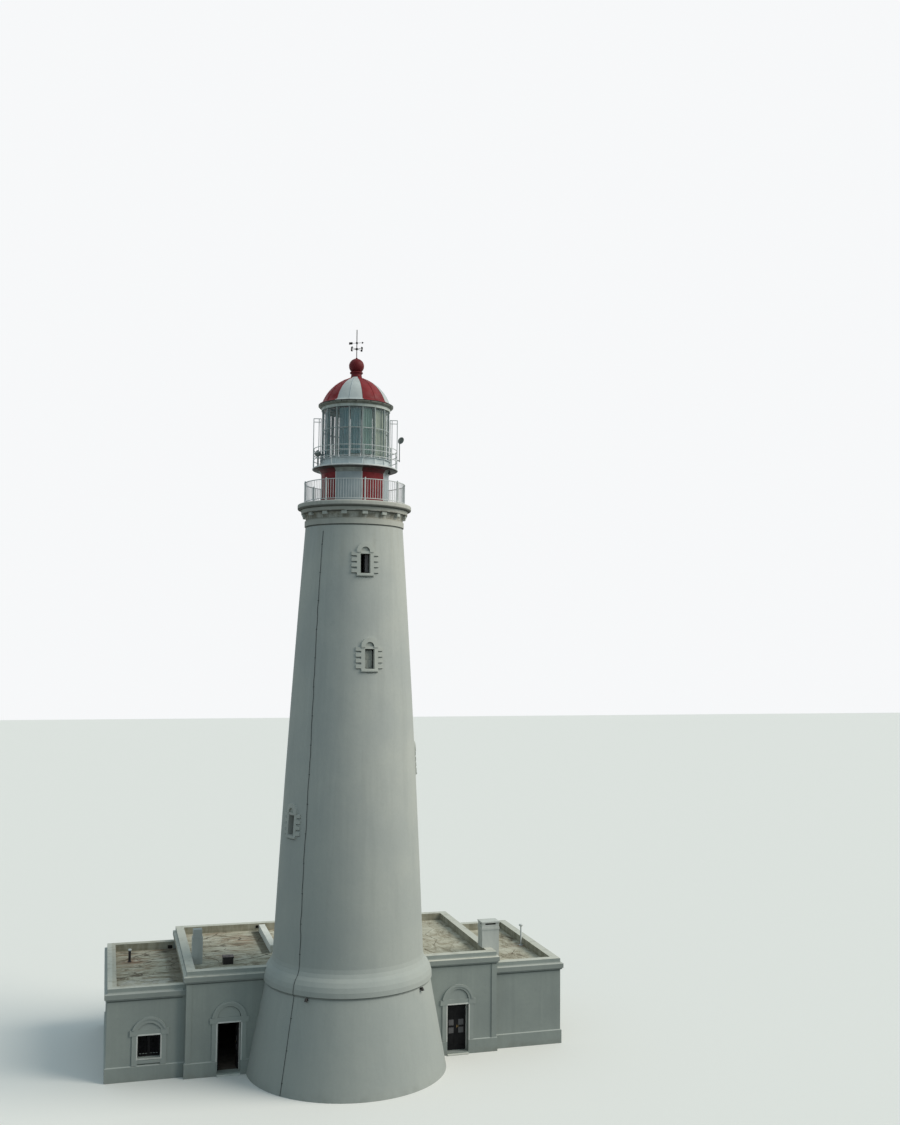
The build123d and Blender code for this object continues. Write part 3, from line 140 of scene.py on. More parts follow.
# ---------------------------------------------------------------- materials
class Mat:
    """A material's nodes, in metres of the shared frame."""

    def __init__(self, name, rough=0.7, metal=0.0, spec=0.3):
        self.mat = bpy.data.materials.new(name)
        self.mat.use_nodes = True
        self.tree = self.mat.node_tree
        self.tree.nodes.clear()
        self.out = self.new("ShaderNodeOutputMaterial")
        self.bsdf = self.new("ShaderNodeBsdfPrincipled")
        self.bsdf.inputs["Roughness"].default_value = rough
        self.bsdf.inputs["Metallic"].default_value = metal
        self.bsdf.inputs["Specular IOR Level"].default_value = spec
        self.link(self.bsdf.outputs[0], self.out.inputs["Surface"])
        self.coord = self.new("ShaderNodeTexCoord").outputs["Object"]
        self.parts = None
        self.tone = None

    def new(self, kind, inputs=(), **settings):
        """New node with its settings and its first inputs, in order."""
        node = self.tree.nodes.new(kind)
        for name, value in settings.items():
            setattr(node, name, value)
        for socket, value in zip(node.inputs, inputs):
            self.put(socket, value)
        return node

    def link(self, a, b):
        self.tree.links.new(a, b)

    def put(self, socket, value):
        if isinstance(value, bpy.types.NodeSocket):
            self.link(value, socket)
        elif isinstance(value, (tuple, list)) and len(value) == 3 and socket.type == "RGBA":
            socket.default_value = (*value, 1)
        else:
            socket.default_value = value

    def axis(self, which):
        if self.parts is None:
            split = self.new("ShaderNodeSeparateXYZ")
            self.link(self.coord, split.inputs[0])
            self.parts = split.outputs
        return self.parts[which]

    def math(self, kind, a, b=0.0):
        return self.new("ShaderNodeMath", (a, b), operation=kind).outputs[0]

    def both(self, *values):
        """Product of masks and shares."""
        total = values[0]
        for value in values[1:]:
            total = self.math("MULTIPLY", total, value)
        return total

    def where(self, stretch, shift=(0, 0, 0)):
        n = self.new("ShaderNodeMapping")
        n.inputs["Scale"].default_value = stretch
        n.inputs["Location"].default_value = shift
        self.link(self.coord, n.inputs["Vector"])
        return n.outputs[0]

    def noise(self, scale, stretch=(1, 1, 1), detail=4.0, rough=0.55, warp=0.0, shift=(0, 0, 0)):
        n = self.new("ShaderNodeTexNoise")
        n.inputs["Scale"].default_value = scale
        n.inputs["Detail"].default_value = detail
        n.inputs["Roughness"].default_value = rough
        n.inputs["Distortion"].default_value = warp
        self.link(self.where(stretch, shift), n.inputs["Vector"])
        return n.outputs[0]

    def cracks(self, scale, stretch, warp, shift=(0, 0, 0)):
        """Distance to the edge of irregular cells, small on the cracks between them."""
        stir = self.new("ShaderNodeTexNoise")
        stir.inputs["Scale"].default_value = 1.3
        stir.inputs["Detail"].default_value = 6.0
        self.link(self.coord, stir.inputs["Vector"])
        terms = (stir.outputs["Color"], (warp, warp, 0), self.where(stretch, shift))
        bend = self.new("ShaderNodeVectorMath", terms, operation="MULTIPLY_ADD")
        cells = self.new("ShaderNodeTexVoronoi", feature="DISTANCE_TO_EDGE")
        cells.inputs["Scale"].default_value = scale
        self.link(bend.outputs[0], cells.inputs["Vector"])
        return cells.outputs["Distance"]

    def step(self, value, low, high, to_low=0.0, to_high=1.0):
        ends = (value, low, high, to_low, to_high)
        return self.new("ShaderNodeMapRange", ends, interpolation_type="SMOOTHSTEP").outputs["Result"]

    def patches(self, low, high, scale, **noise):
        """Soft-edged patches where a noise is high."""
        return self.step(self.noise(scale, **noise), low, high)

    def band(self, value, low, high, soft):
        return self.both(self.step(value, low - soft, low), self.step(value, high, high + soft, 1.0, 0.0))

    def mix(self, fac, a, b):
        n = self.new("ShaderNodeMix", (fac,), data_type="RGBA")
        self.put(n.inputs[6], a)
        self.put(n.inputs[7], b)
        return n.outputs[2]

    def stain(self, tone, *shares):
        """Lay a colour over the running one, as far as the product of the shares."""
        self.tone = self.mix(self.both(*shares), self.tone, tone)

    def ramp(self, fac, stops):
        n = self.new("ShaderNodeValToRGB")
        while len(n.color_ramp.elements) < len(stops):
            n.color_ramp.elements.new(0.5)
        for element, (place, colour) in zip(n.color_ramp.elements, stops):
            element.position = place
            element.color = (*colour, 1)
        self.link(fac, n.inputs[0])
        return n.outputs[0]

    def colour(self, value):
        self.put(self.bsdf.inputs["Base Color"], value)

    def rough(self, value):
        self.put(self.bsdf.inputs["Roughness"], value)

    def bump(self, height, strength, distance, below=None):
        n = self.new("ShaderNodeBump")
        n.inputs["Strength"].default_value = strength
        n.inputs["Distance"].default_value = distance
        self.put(n.inputs["Height"], height)
        if below is not None:
            self.link(below, n.inputs["Normal"])
        self.link(n.outputs[0], self.bsdf.inputs["Normal"])
        return n.outputs[0]

    def reach(self, x, y):
        return self.math("SQRT", self.math("ADD", self.both(x, x), self.both(y, y)))

    def radius(self):
        return self.reach(self.axis(0), self.axis(1))

    def bearing(self):
        return self.math("ARCTAN2", self.axis(0), self.math("MULTIPLY", self.axis(1), -1.0))

    def level(self):
        """How far the surface faces up, from -1 to 1."""
        split = self.new("ShaderNodeSeparateXYZ")
        self.link(self.new("ShaderNodeNewGeometry").outputs["True Normal"], split.inputs[0])
        return split.outputs[2]

    def away(self, cx, cy):
        """Distance in plan from a place."""
        return self.reach(self.math("SUBTRACT", self.axis(0), cx), self.math("SUBTRACT", self.axis(1), cy))


def times(colour, share):
    return tuple(c * share for c in colour)


def render_material(name, light, dark, marks=None, weather=1.0):
    """Limewashed render: clouds, rain runs, fine grain, then the marks of its own place."""
    m = Mat(name, rough=0.88, spec=0.2)
    m.tone = m.mix(m.patches(0.35, 0.68, 0.32, detail=5.0), light, dark)
    runs = m.patches(0.44, 0.74, 1.0, stretch=(2.2, 2.2, 0.07), detail=5.0, rough=0.62)
    m.stain(times(dark, 0.72), runs, 0.30 * weather)
    pale = m.patches(0.56, 0.80, 1.0, stretch=(3.4, 3.4, 0.11), detail=3.0, shift=(3, 1, 0))
    m.stain(tuple(min(c * 1.18, 0.75) for c in light), pale, 0.30 * weather)
    fine = m.patches(0.30, 0.72, 7.0, detail=6.0, rough=0.7)
    m.stain(times(dark, 0.72), fine, 0.12)
    spots = m.patches(0.70, 0.76, 3.1, detail=2.0, rough=0.4, shift=(9, 4, 2))
    m.stain(times(dark, 0.65), spots, 0.15 * weather)
    if marks:
        marks(m)
    m.colour(m.tone)
    wave = m.bump(m.noise(1.5, detail=3.0), 0.35, 0.03)
    m.bump(m.noise(38.0, detail=4.0, rough=0.7), 0.35, 0.004, wave)
    return m.mat


# Near-black for the painted shadow lines under mouldings and cornices.
PAINTED_SHADOW_LINE = (0.085, 0.09, 0.085)


def tower_marks(m):
    z, r = m.axis(2), m.radius()
    foot = m.both(m.step(z, 0.03, 0.45, 1.0, 0.0), m.patches(0.35, 0.7, 2.6, detail=5.0), 0.30)
    m.stain((0.24, 0.24, 0.20), foot)
    drip = m.both(m.band(z, 3.2, 3.9, 0.5), m.patches(0.56, 0.74, 1.0, stretch=(5, 5, 0.25)), 0.22)
    m.stain((0.27, 0.29, 0.28), drip)
    # Painted shadow lines under the base ring and under the neck band.
    m.stain(PAINTED_SHADOW_LINE, m.band(z, 3.912, 4.004, 0.022), m.band(r, 3.60, 3.86, 0.03), 0.58)
    m.stain(PAINTED_SHADOW_LINE, m.band(z, 24.222, 24.282, 0.015), 0.85)
    top = m.both(m.band(z, 22.6, 24.25, 1.2), m.patches(0.48, 0.7, 1.0, stretch=(3, 3, 0.09), shift=(5, 5, 1)), 0.20)
    m.stain((0.34, 0.335, 0.29), top)
    m.stain((0.285, 0.32, 0.31), m.step(z, 2.0, 17.0, 0.46, 0.0))


def cornice_marks(m):
    z, r = m.axis(2), m.radius()
    damp = m.patches(0.42, 0.58, 2.6, stretch=(1, 1, 0.5), detail=6.0, rough=0.65)
    wet = m.both(m.band(z, 24.58, 24.87, 0.04), damp, 0.72)
    m.stain((0.17, 0.15, 0.115), wet)
    m.stain((0.25, 0.24, 0.20), m.band(z, 24.52, 24.585, 0.03), 0.35)
    # Painted shadow lines under the bed mould and along the top of the bed, under the slab.
    under = m.both(m.band(z, 24.82, 24.852, 0.012), m.step(r, 2.30, 2.34), 0.85)
    m.stain(PAINTED_SHADOW_LINE, under)
    m.stain(PAINTED_SHADOW_LINE, m.band(z, 25.028, 25.07, 0.012), 0.85)


def slab_marks(m):
    z = m.axis(2)
    # Painted shadow along the lower edge of the slab.
    m.stain(PAINTED_SHADOW_LINE, m.step(z, 25.10, 25.14, 1.0, 0.0), 0.75)
    grime_and_painted_shadow = m.patches(0.50, 0.66, 1.0, stretch=(6, 6, 1.2), detail=5.0)
    m.stain((0.24, 0.24, 0.21), grime_and_painted_shadow, 0.30)


BEIGE, BEIGE_DARK = (0.375, 0.36, 0.285), (0.235, 0.215, 0.155)


def house_marks(m):
    x, y, z = m.axis(0), m.axis(1), m.axis(2)
    ax = m.math("ABSOLUTE", x)
    foot = m.both(m.step(z, 0.02, 0.35, 1.0, 0.0), m.patches(0.35, 0.7, 2.6, detail=5.0), 0.40)
    m.stain((0.20, 0.20, 0.165), foot)
    wing = m.step(ax, 7.255, 7.265)
    # Painted shadow line under each cornice, painted highlight along its top edge, and a darker band on its face.
    for top, share in ((4.54, m.math("SUBTRACT", 1.0, wing)), (3.95, wing)):
        line = m.both(m.band(z, top - 0.565, top - 0.498, 0.016), share, 0.55)
        m.stain(PAINTED_SHADOW_LINE, line)
        m.stain((0.56, 0.57, 0.54), m.band(z, top - 0.235, top - 0.16, 0.008), share, 0.50)
        m.stain((0.24, 0.26, 0.25), m.band(z, top - 0.43, top - 0.24, 0.01), share, 0.35)
    # Painted highlight along the top of the plinth.
    m.stain((0.52, 0.54, 0.52), m.band(z, 0.615, 0.645, 0.006), 0.40)
    inner = m.both(m.step(ax, 6.742, 6.75, 1.0, 0.0), m.band(y, 0.535, 8.565, 0.006), m.step(z, 4.0, 4.1))
    inner_wing = m.both(m.band(ax, 7.24, 10.065, 0.006), m.band(y, 0.815, 8.285, 0.006), m.step(z, 3.45, 3.5))
    dirty = m.mix(m.patches(0.36, 0.66, 1.0, stretch=(2.5, 2.5, 0.8), detail=6.0, rough=0.65), BEIGE, BEIGE_DARK)
    m.stain(dirty, m.math("MAXIMUM", inner, inner_wing), 0.85)
    worn = m.patches(0.50, 0.66, 2.3, detail=6.0, rough=0.65, shift=(1, 6, 3))
    top = m.both(m.step(m.level(), 0.75, 0.95), m.step(z, 3.92, 3.94))
    m.stain(m.mix(m.both(worn, 0.5), (0.60, 0.60, 0.54), (0.38, 0.37, 0.31)), top, 0.80)
    shelf = m.both(top, m.step(x, -7.26, -7.25, 1.0, 0.0), m.step(x, -10.28, -10.20), m.step(y, 0.66, 0.72))
    m.stain((0.36, 0.34, 0.27), shelf, m.step(worn, 0.0, 1.0, 0.45, 0.80))


def roof_material():
    """Screed roofs: pale beige with streaks along the front on the left, and front to back on the right."""
    m = Mat("roof_screed", rough=0.93, spec=0.12)
    x, y = m.axis(0), m.axis(1)
    east = m.step(x, 0.0, 1.0)
    cloud_w = m.noise(1.1, stretch=(0.9, 1.5, 1), detail=9.0, rough=0.72, warp=0.8)
    cloud_e = m.noise(1.1, stretch=(1.7, 0.75, 1), detail=9.0, rough=0.74, warp=0.8, shift=(7, 3, 0))
    cloud = m.math("ADD", m.both(cloud_w, m.math("SUBTRACT", 1.0, east)), m.both(cloud_e, east))
    stops = [(0.33, (0.10, 0.08, 0.055)), (0.415, (0.31, 0.285, 0.22))]
    stops += [(0.50, (0.46, 0.44, 0.355)), (0.64, (0.58, 0.57, 0.485))]
    m.tone = m.ramp(cloud, stops)
    rear = m.step(y, 2.7, 3.6)
    rust = m.patches(0.50, 0.62, 1.0, stretch=(0.7, 2.4, 1), detail=7.0, rough=0.74, warp=0.6, shift=(4, 2, 0))
    west = m.math("SUBTRACT", 1.0, m.both(east, 0.75))
    m.stain((0.25, 0.155, 0.095), rust, rear, west, 0.55)
    streak = m.noise(1.0, stretch=(1.1, 5.5, 1), detail=8.0, rough=0.80, warp=0.7, shift=(1, 8, 0))
    m.stain((0.075, 0.06, 0.042), m.step(streak, 0.60, 0.65), rear, west, 0.75)
    patch = m.both(m.band(x, -9.8, -7.7, 0.3), m.band(y, 0.9, 2.7, 0.4))
    torn = m.patches(0.40, 0.52, 2.1, detail=7.0, rough=0.72, shift=(6, 0, 0))
    m.stain((0.56, 0.56, 0.52), patch, torn, 0.80)
    hole = m.patches(0.60, 0.66, 3.4, stretch=(0.8, 1.6, 1), detail=5.0, rough=0.7, shift=(2, 5, 0))
    m.stain((0.10, 0.095, 0.085), patch, hole, 0.75)
    for cx, cy, reach, share, tone in (
        (LEFT_VENT.x + 0.1, LEFT_VENT.y, 1.0, 0.70, (0.24, 0.12, 0.07)),
        (RIGHT_VENT.x, RIGHT_VENT.y, 0.7, 0.75, (0.25, 0.12, 0.06)),
        (-7.55, 7.75, 0.75, 0.85, (0.06, 0.055, 0.045)),
        (-4.1, 6.6, 1.6, 0.40, (0.26, 0.14, 0.08)),
        (-2.95, 8.3, 0.7, 0.60, (0.08, 0.075, 0.06)),
    ):
        ragged = m.patches(0.34, 0.58, 3.0, stretch=(0.7, 1.5, 1), detail=5.0)
        m.stain(tone, m.step(m.away(cx, cy), 0.08, reach, 1.0, 0.0), ragged, share)
    # Painted shade on the left wing's roof at the foot of the central block's end wall.
    shadow_at_wall_foot = m.both(m.band(x, -7.6, -7.2, 0.25), m.step(y, 0.9, 2.0), 0.55)
    m.stain((0.12, 0.11, 0.085), shadow_at_wall_foot)
    edge_w = m.both(m.band(x, -3.35, -2.98, 0.08), m.band(y, 3.9, 8.2, 0.15), 0.75)
    m.stain((0.10, 0.10, 0.075), edge_w)
    open_west = m.step(m.cracks(0.75, (0.8, 1.5, 1), 0.9), 0.012, 0.040, 1.0, 0.0)
    some = m.patches(0.42, 0.55, 0.8, detail=3.0, shift=(8, 8, 0))
    m.stain((0.07, 0.055, 0.04), open_west, some, rear, west, 0.80)
    hair = m.step(m.cracks(1.5, (1.2, 0.7, 1), 0.8, (5, 2, 0)), 0.008, 0.030, 1.0, 0.0)
    m.stain((0.12, 0.10, 0.075), hair, m.patches(0.46, 0.56, 1.1, detail=3.0), 0.42)
    fine = m.patches(0.35, 0.75, 16.0, detail=4.0, rough=0.75)
    m.stain((0.15, 0.13, 0.095), fine, 0.20)
    m.colour(m.tone)
    lump = m.bump(cloud, 0.5, 0.03)
    m.bump(m.noise(30.0, detail=5.0, rough=0.8), 0.5, 0.006, lump)
    return m.mat


def paint_material(name, light, dark, rust=0.5, rough=0.55, spec=0.3, upper=None):
    m = Mat(name, rough=rough, spec=spec)
    m.tone = m.mix(m.patches(0.34, 0.70, 1.3, detail=5.0), light, dark)
    runs = m.patches(0.50, 0.78, 1.0, stretch=(9, 9, 0.5), detail=4.0)
    m.stain(times(dark, 0.6), runs, 0.25)
    if upper is not None:
        m.stain(upper, m.step(m.axis(2), 31.33, 31.36))
    if rust:
        blot = m.patches(0.63, 0.70, 5.5, detail=6.0, rough=0.7, shift=(3, 3, 3))
        m.stain((0.17, 0.07, 0.035), blot, rust)
    m.colour(m.tone)
    m.rough(m.step(m.noise(4.0, detail=5.0), 0.3, 0.8, rough - 0.08, rough + 0.2))
    m.bump(m.noise(22.0, detail=4.0, rough=0.65), 0.25, 0.003)
    return m.mat


def gutter_material():
    """Dark gutter over the pale head ring, with a painted shadow along its top under the dome's flashing."""
    m = Mat("gutter_paint", rough=0.65, spec=0.2)
    z = m.axis(2)
    worn = m.noise(1.0, stretch=(6, 6, 1.5), detail=5.0)
    pale = m.mix(m.step(worn, 0.40, 0.72), (0.54, 0.58, 0.56), (0.40, 0.43, 0.40))
    body = m.mix(m.step(worn, 0.35, 0.70), (0.25, 0.26, 0.23), (0.155, 0.16, 0.14))
    m.tone = m.mix(m.step(z, 29.842, 29.858), pale, body)
    # Near-black painted shadow along the top, wavering a little.
    flashing_shadow = m.math("ADD", 29.955, m.both(m.noise(1.0, stretch=(2.2, 2.2, 0.1), detail=3.0), 0.03))
    m.stain((0.035, 0.038, 0.035), m.step(m.math("SUBTRACT", z, flashing_shadow), -0.012, 0.0))
    m.colour(m.tone)
    m.bump(m.noise(18.0, detail=4.0), 0.3, 0.003)
    return m.mat


def deck_material():
    """White edge, and a cove in the colours of the eight panels below it, darkened as painted shade, with a painted
    shadow under the nosing.
    """
    m = Mat("deck_paint", rough=0.6, spec=0.25)
    turn = m.math("SINE", m.math("MULTIPLY", m.bearing(), 4.0))
    worn = m.patches(0.35, 0.7, 3.0, detail=5.0)
    # Darker copies of the red and pale panel paints: painted shade on the cove.
    red = m.mix(worn, (0.10, 0.012, 0.016), (0.055, 0.012, 0.012))
    pale = m.mix(worn, (0.36, 0.39, 0.38), (0.24, 0.255, 0.245))
    m.tone = m.mix(m.step(turn, -0.04, 0.04), pale, red)
    # Painted shadow under the nosing.
    shadow_under_nosing = m.both(m.band(m.axis(2), 26.90, 26.958, 0.01), 0.75)
    m.stain((0.04, 0.036, 0.034), shadow_under_nosing)
    m.stain((0.56, 0.59, 0.59), m.step(m.axis(2), 26.962, 26.968))
    m.colour(m.tone)
    m.bump(m.noise(20.0, detail=4.0), 0.3, 0.003)
    return m.mat


def glass_material(name, tint, alpha, rough=0.06, spec=0.8, film=(0.30, 0.33, 0.31)):
    m = Mat(name, rough=rough, spec=spec)
    dirt = m.noise(1.0, stretch=(3, 3, 0.8), detail=6.0, rough=0.65)
    m.colour(m.mix(m.both(m.step(dirt, 0.40, 0.75), 0.45), tint, film))
    m.put(m.bsdf.inputs["Alpha"], m.step(dirt, 0.35, 0.80, max(alpha - 0.06, 0.0), min(alpha + 0.10, 1.0)))
    m.bump(m.noise(2.4, detail=2.0), 0.10, 0.01)
    return m.mat


def curtain_material():
    m = Mat("curtain_cloth", rough=0.9, spec=0.1)
    shade = m.patches(0.35, 0.7, 1.6, detail=4.0)
    blue = m.mix(shade, (0.27, 0.45, 0.50), (0.205, 0.355, 0.40))
    green = m.mix(shade, (0.31, 0.50, 0.43), (0.24, 0.40, 0.35))
    pale = m.mix(shade, (0.66, 0.70, 0.57), (0.52, 0.58, 0.48))
    # From blue on the left through green to pale on the right: painted light and shade by bearing.
    bearing = m.bearing()
    m.tone = m.mix(m.step(bearing, -0.06, 0.12), blue, green)
    m.stain(pale, m.step(bearing, 0.36, 0.52))
    # Darker vertical stripes: painted shade in the folds.
    fold_shade = m.patches(0.42, 0.66, 1.0, stretch=(10, 10, 0.12), detail=3.0)
    m.stain((0.12, 0.17, 0.17), fold_shade, 0.28)
    m.colour(m.tone)
    weave = m.new("ShaderNodeTexWave")
    weave.bands_direction = "Z"
    weave.inputs["Scale"].default_value = 160.0
    m.link(m.coord, weave.inputs["Vector"])
    m.bump(weave.outputs["Fac"], 0.15, 0.001)
    return m.mat


def plain_material(name, light, dark, rough=0.6, metal=0.0, grain=20.0, spec=0.3):
    m = Mat(name, rough=rough, metal=metal, spec=spec)
    m.colour(m.mix(m.patches(0.34, 0.70, grain, detail=5.0, rough=0.65), light, dark))
    m.bump(m.noise(grain * 3, detail=3.0), 0.25, 0.002)
    return m.mat


def wood_material(name, light, dark, rough=0.6, spec=0.25):
    m = Mat(name, rough=rough, spec=spec)
    grain = m.noise(1.0, stretch=(60, 60, 3), detail=4.0, warp=0.4)
    m.colour(m.mix(m.step(grain, 0.35, 0.70), light, dark))
    m.bump(grain, 0.25, 0.002)
    return m.mat


TOWER = render_material("tower_render", (0.475, 0.495, 0.47), (0.42, 0.445, 0.435), tower_marks, weather=0.7)
CORNICE = render_material("cornice_render", (0.48, 0.485, 0.445), (0.41, 0.415, 0.39), cornice_marks)
SLAB = render_material("slab_render", (0.50, 0.50, 0.465), (0.40, 0.405, 0.38), slab_marks)
SURROUND = render_material("surround_render", (0.50, 0.52, 0.485), (0.445, 0.465, 0.445), weather=0.6)
HOUSE = render_material("house_render", (0.325, 0.36, 0.342), (0.28, 0.312, 0.302), house_marks, weather=0.8)
TRIM = render_material("opening_trim_render", (0.37, 0.405, 0.385), (0.315, 0.347, 0.337), weather=0.6)
STACK = render_material("chimney_render", (0.56, 0.58, 0.56), (0.46, 0.48, 0.465), weather=1.2)
EDGE = render_material("clean_render", (0.74, 0.75, 0.71), (0.62, 0.63, 0.59), weather=0.8)
ROOF = roof_material()
# Interior floors near black: painted shade of the unlit rooms.
UNLIT_FLOOR = plain_material("floor_screed", (0.115, 0.098, 0.082), (0.07, 0.06, 0.05), rough=0.9, grain=3.0)
WHITE = paint_material("white_paint", (0.50, 0.545, 0.55), (0.42, 0.46, 0.47), rust=0.35)
RAIL = paint_material("rail_paint", (0.62, 0.645, 0.645), (0.50, 0.53, 0.54), rust=0.25)
BARS = paint_material("glazing_bar_paint", (0.40, 0.445, 0.445), (0.30, 0.34, 0.345), rust=0.2)
DEEP_RED = (0.12, 0.009, 0.013)
RED = paint_material("red_paint", (0.205, 0.012, 0.017), (0.135, 0.009, 0.014), rust=0.12, spec=0.2, upper=DEEP_RED)
DRUM_WHITE = paint_material("drum_white_paint", (0.37, 0.425, 0.455), (0.30, 0.35, 0.38), rust=0.12)
PALE = paint_material("pale_blue_paint", (0.60, 0.665, 0.69), (0.50, 0.56, 0.585), rust=0.12)
DECK_PAINT = deck_material()
GUTTER = gutter_material()
GREY = paint_material("grey_paint", (0.27, 0.295, 0.285), (0.18, 0.20, 0.195), rust=0.2)
BLACK = paint_material("black_paint", (0.018, 0.018, 0.02), (0.03, 0.028, 0.027), rust=0.12)
DOOR = paint_material("door_paint", (0.007, 0.007, 0.008), (0.013, 0.013, 0.014), rust=0.0, rough=0.6, spec=0.15)
SASH = wood_material("dark_sash_wood", (0.012, 0.012, 0.013), (0.007, 0.007, 0.008), spec=0.12)
FRAME = wood_material("white_frame_wood", (0.66, 0.67, 0.65), (0.54, 0.55, 0.53))
SHUTTER = wood_material("pale_shutter_wood", (0.42, 0.44, 0.41), (0.27, 0.285, 0.265))
GLASS = glass_material("lantern_pane", (0.16, 0.23, 0.24), 0.24)
# House window panes near black and nearly opaque: painted shade of the unlit rooms behind them.
DARK_GLASS = glass_material("dark_pane", (0.004, 0.004, 0.005), 0.97, rough=0.5, spec=0.05, film=(0.008, 0.008, 0.009))
GREY_GLASS = glass_material("grey_pane", (0.15, 0.143, 0.15), 0.97, rough=0.3, spec=0.2, film=(0.19, 0.185, 0.185))
CURTAIN = curtain_material()
STEEL = plain_material("galvanised_steel", (0.30, 0.31, 0.31), (0.20, 0.205, 0.21), rough=0.45, metal=0.6, grain=9.0)
CABLE = plain_material("dark_strap", (0.085, 0.095, 0.095), (0.055, 0.06, 0.06), rough=0.7, grain=4.0)
CRACK = plain_material("open_crack", (0.045, 0.036, 0.024), (0.075, 0.06, 0.04), rough=0.95, grain=5.0)
# Dark colour of the painted shadow strips.
SHADOW_PAINT = plain_material("painted_shadow_strips", (0.095, 0.105, 0.10), (0.15, 0.16, 0.15), rough=0.95, grain=6.0, spec=0.1)
# Black for soot in the flues and for painted shade in the drain holes.
SOOT_AND_SHADE = plain_material("soot_and_painted_shade", (0.012, 0.011, 0.010), (0.03, 0.027, 0.024), rough=0.95, grain=6.0, spec=0.1)
BRASS = plain_material("worn_brass", (0.33, 0.24, 0.10), (0.20, 0.14, 0.06), rough=0.35, metal=0.9, grain=14.0)

by_slot = {
    "white_render": HOUSE,
    "roof_screed": ROOF,
    "floor_screed": UNLIT_FLOOR,
    "dark_sash": SASH,
    "white_frame": FRAME,
    "black_door": DOOR,
    "white_metal": WHITE,
    "red_metal": RED,
    "grey_metal": GREY,
    "pale_blue_metal": PALE,
    "lantern_glass": GLASS,
    "black_metal": BLACK,
}
by_node = {
    "lantern_head": GUTTER,
    "lantern_deck": DECK_PAINT,
    "drum_white_panels": DRUM_WHITE,
    "gallery_cornice": CORNICE,
    "gallery_slab": SLAB,
    "modillions": SURROUND,
    "window_surrounds": SURROUND,
    "window_hoods": SURROUND,
    "opening_jambs": TRIM,
    "opening_arches": TRIM,
    "chimneys": STACK,
    "door_steps": EDGE,
    "roof_upstand": EDGE,
}
for name in ("gallery_posts", "gallery_railing", "lantern_posts", "lantern_rails"):
    by_node[name] = RAIL
for name in ("lantern_mullions", "lantern_transoms"):
    by_node[name] = BARS
for name in nodes:
    if name.startswith(("base_", "shaft_", "passage")):
        by_node[name] = TOWER
for entry in frame["record"]["subparts"]:
    cad = nodes[entry["node"]]
    material = by_node.get(entry["node"], by_slot[entry["material_slot"]])
    if not cad.material_slots:
        cad.data.materials.append(material)
    for holder in cad.material_slots:
        holder.material = material


# ---------------------------------------------------------------- making pieces
def spot(bearing, radius, z):
    """Place at a bearing from the front, a radius and a height; its x runs right, y up, z out."""
    s, c = math.sin(rad(bearing)), math.cos(rad(bearing))
    return Matrix(((c, 0, s, s * radius), (s, 0, -c, -c * radius), (0, 1, 0, z), (0, 0, 0, 1)))


def face(x, y, way):
    """Place on a front (-1) or back (1) wall: x runs right as seen from outside, y up, z out."""
    return Matrix(((-way, 0, 0, x), (0, 0, way, y), (0, 1, 0, 0), (0, 0, 0, 1)))


def polar(a, r, z):
    """Place at an angle from the front in radians, a radius and a height."""
    return (math.sin(a) * r, -math.cos(a) * r, z)


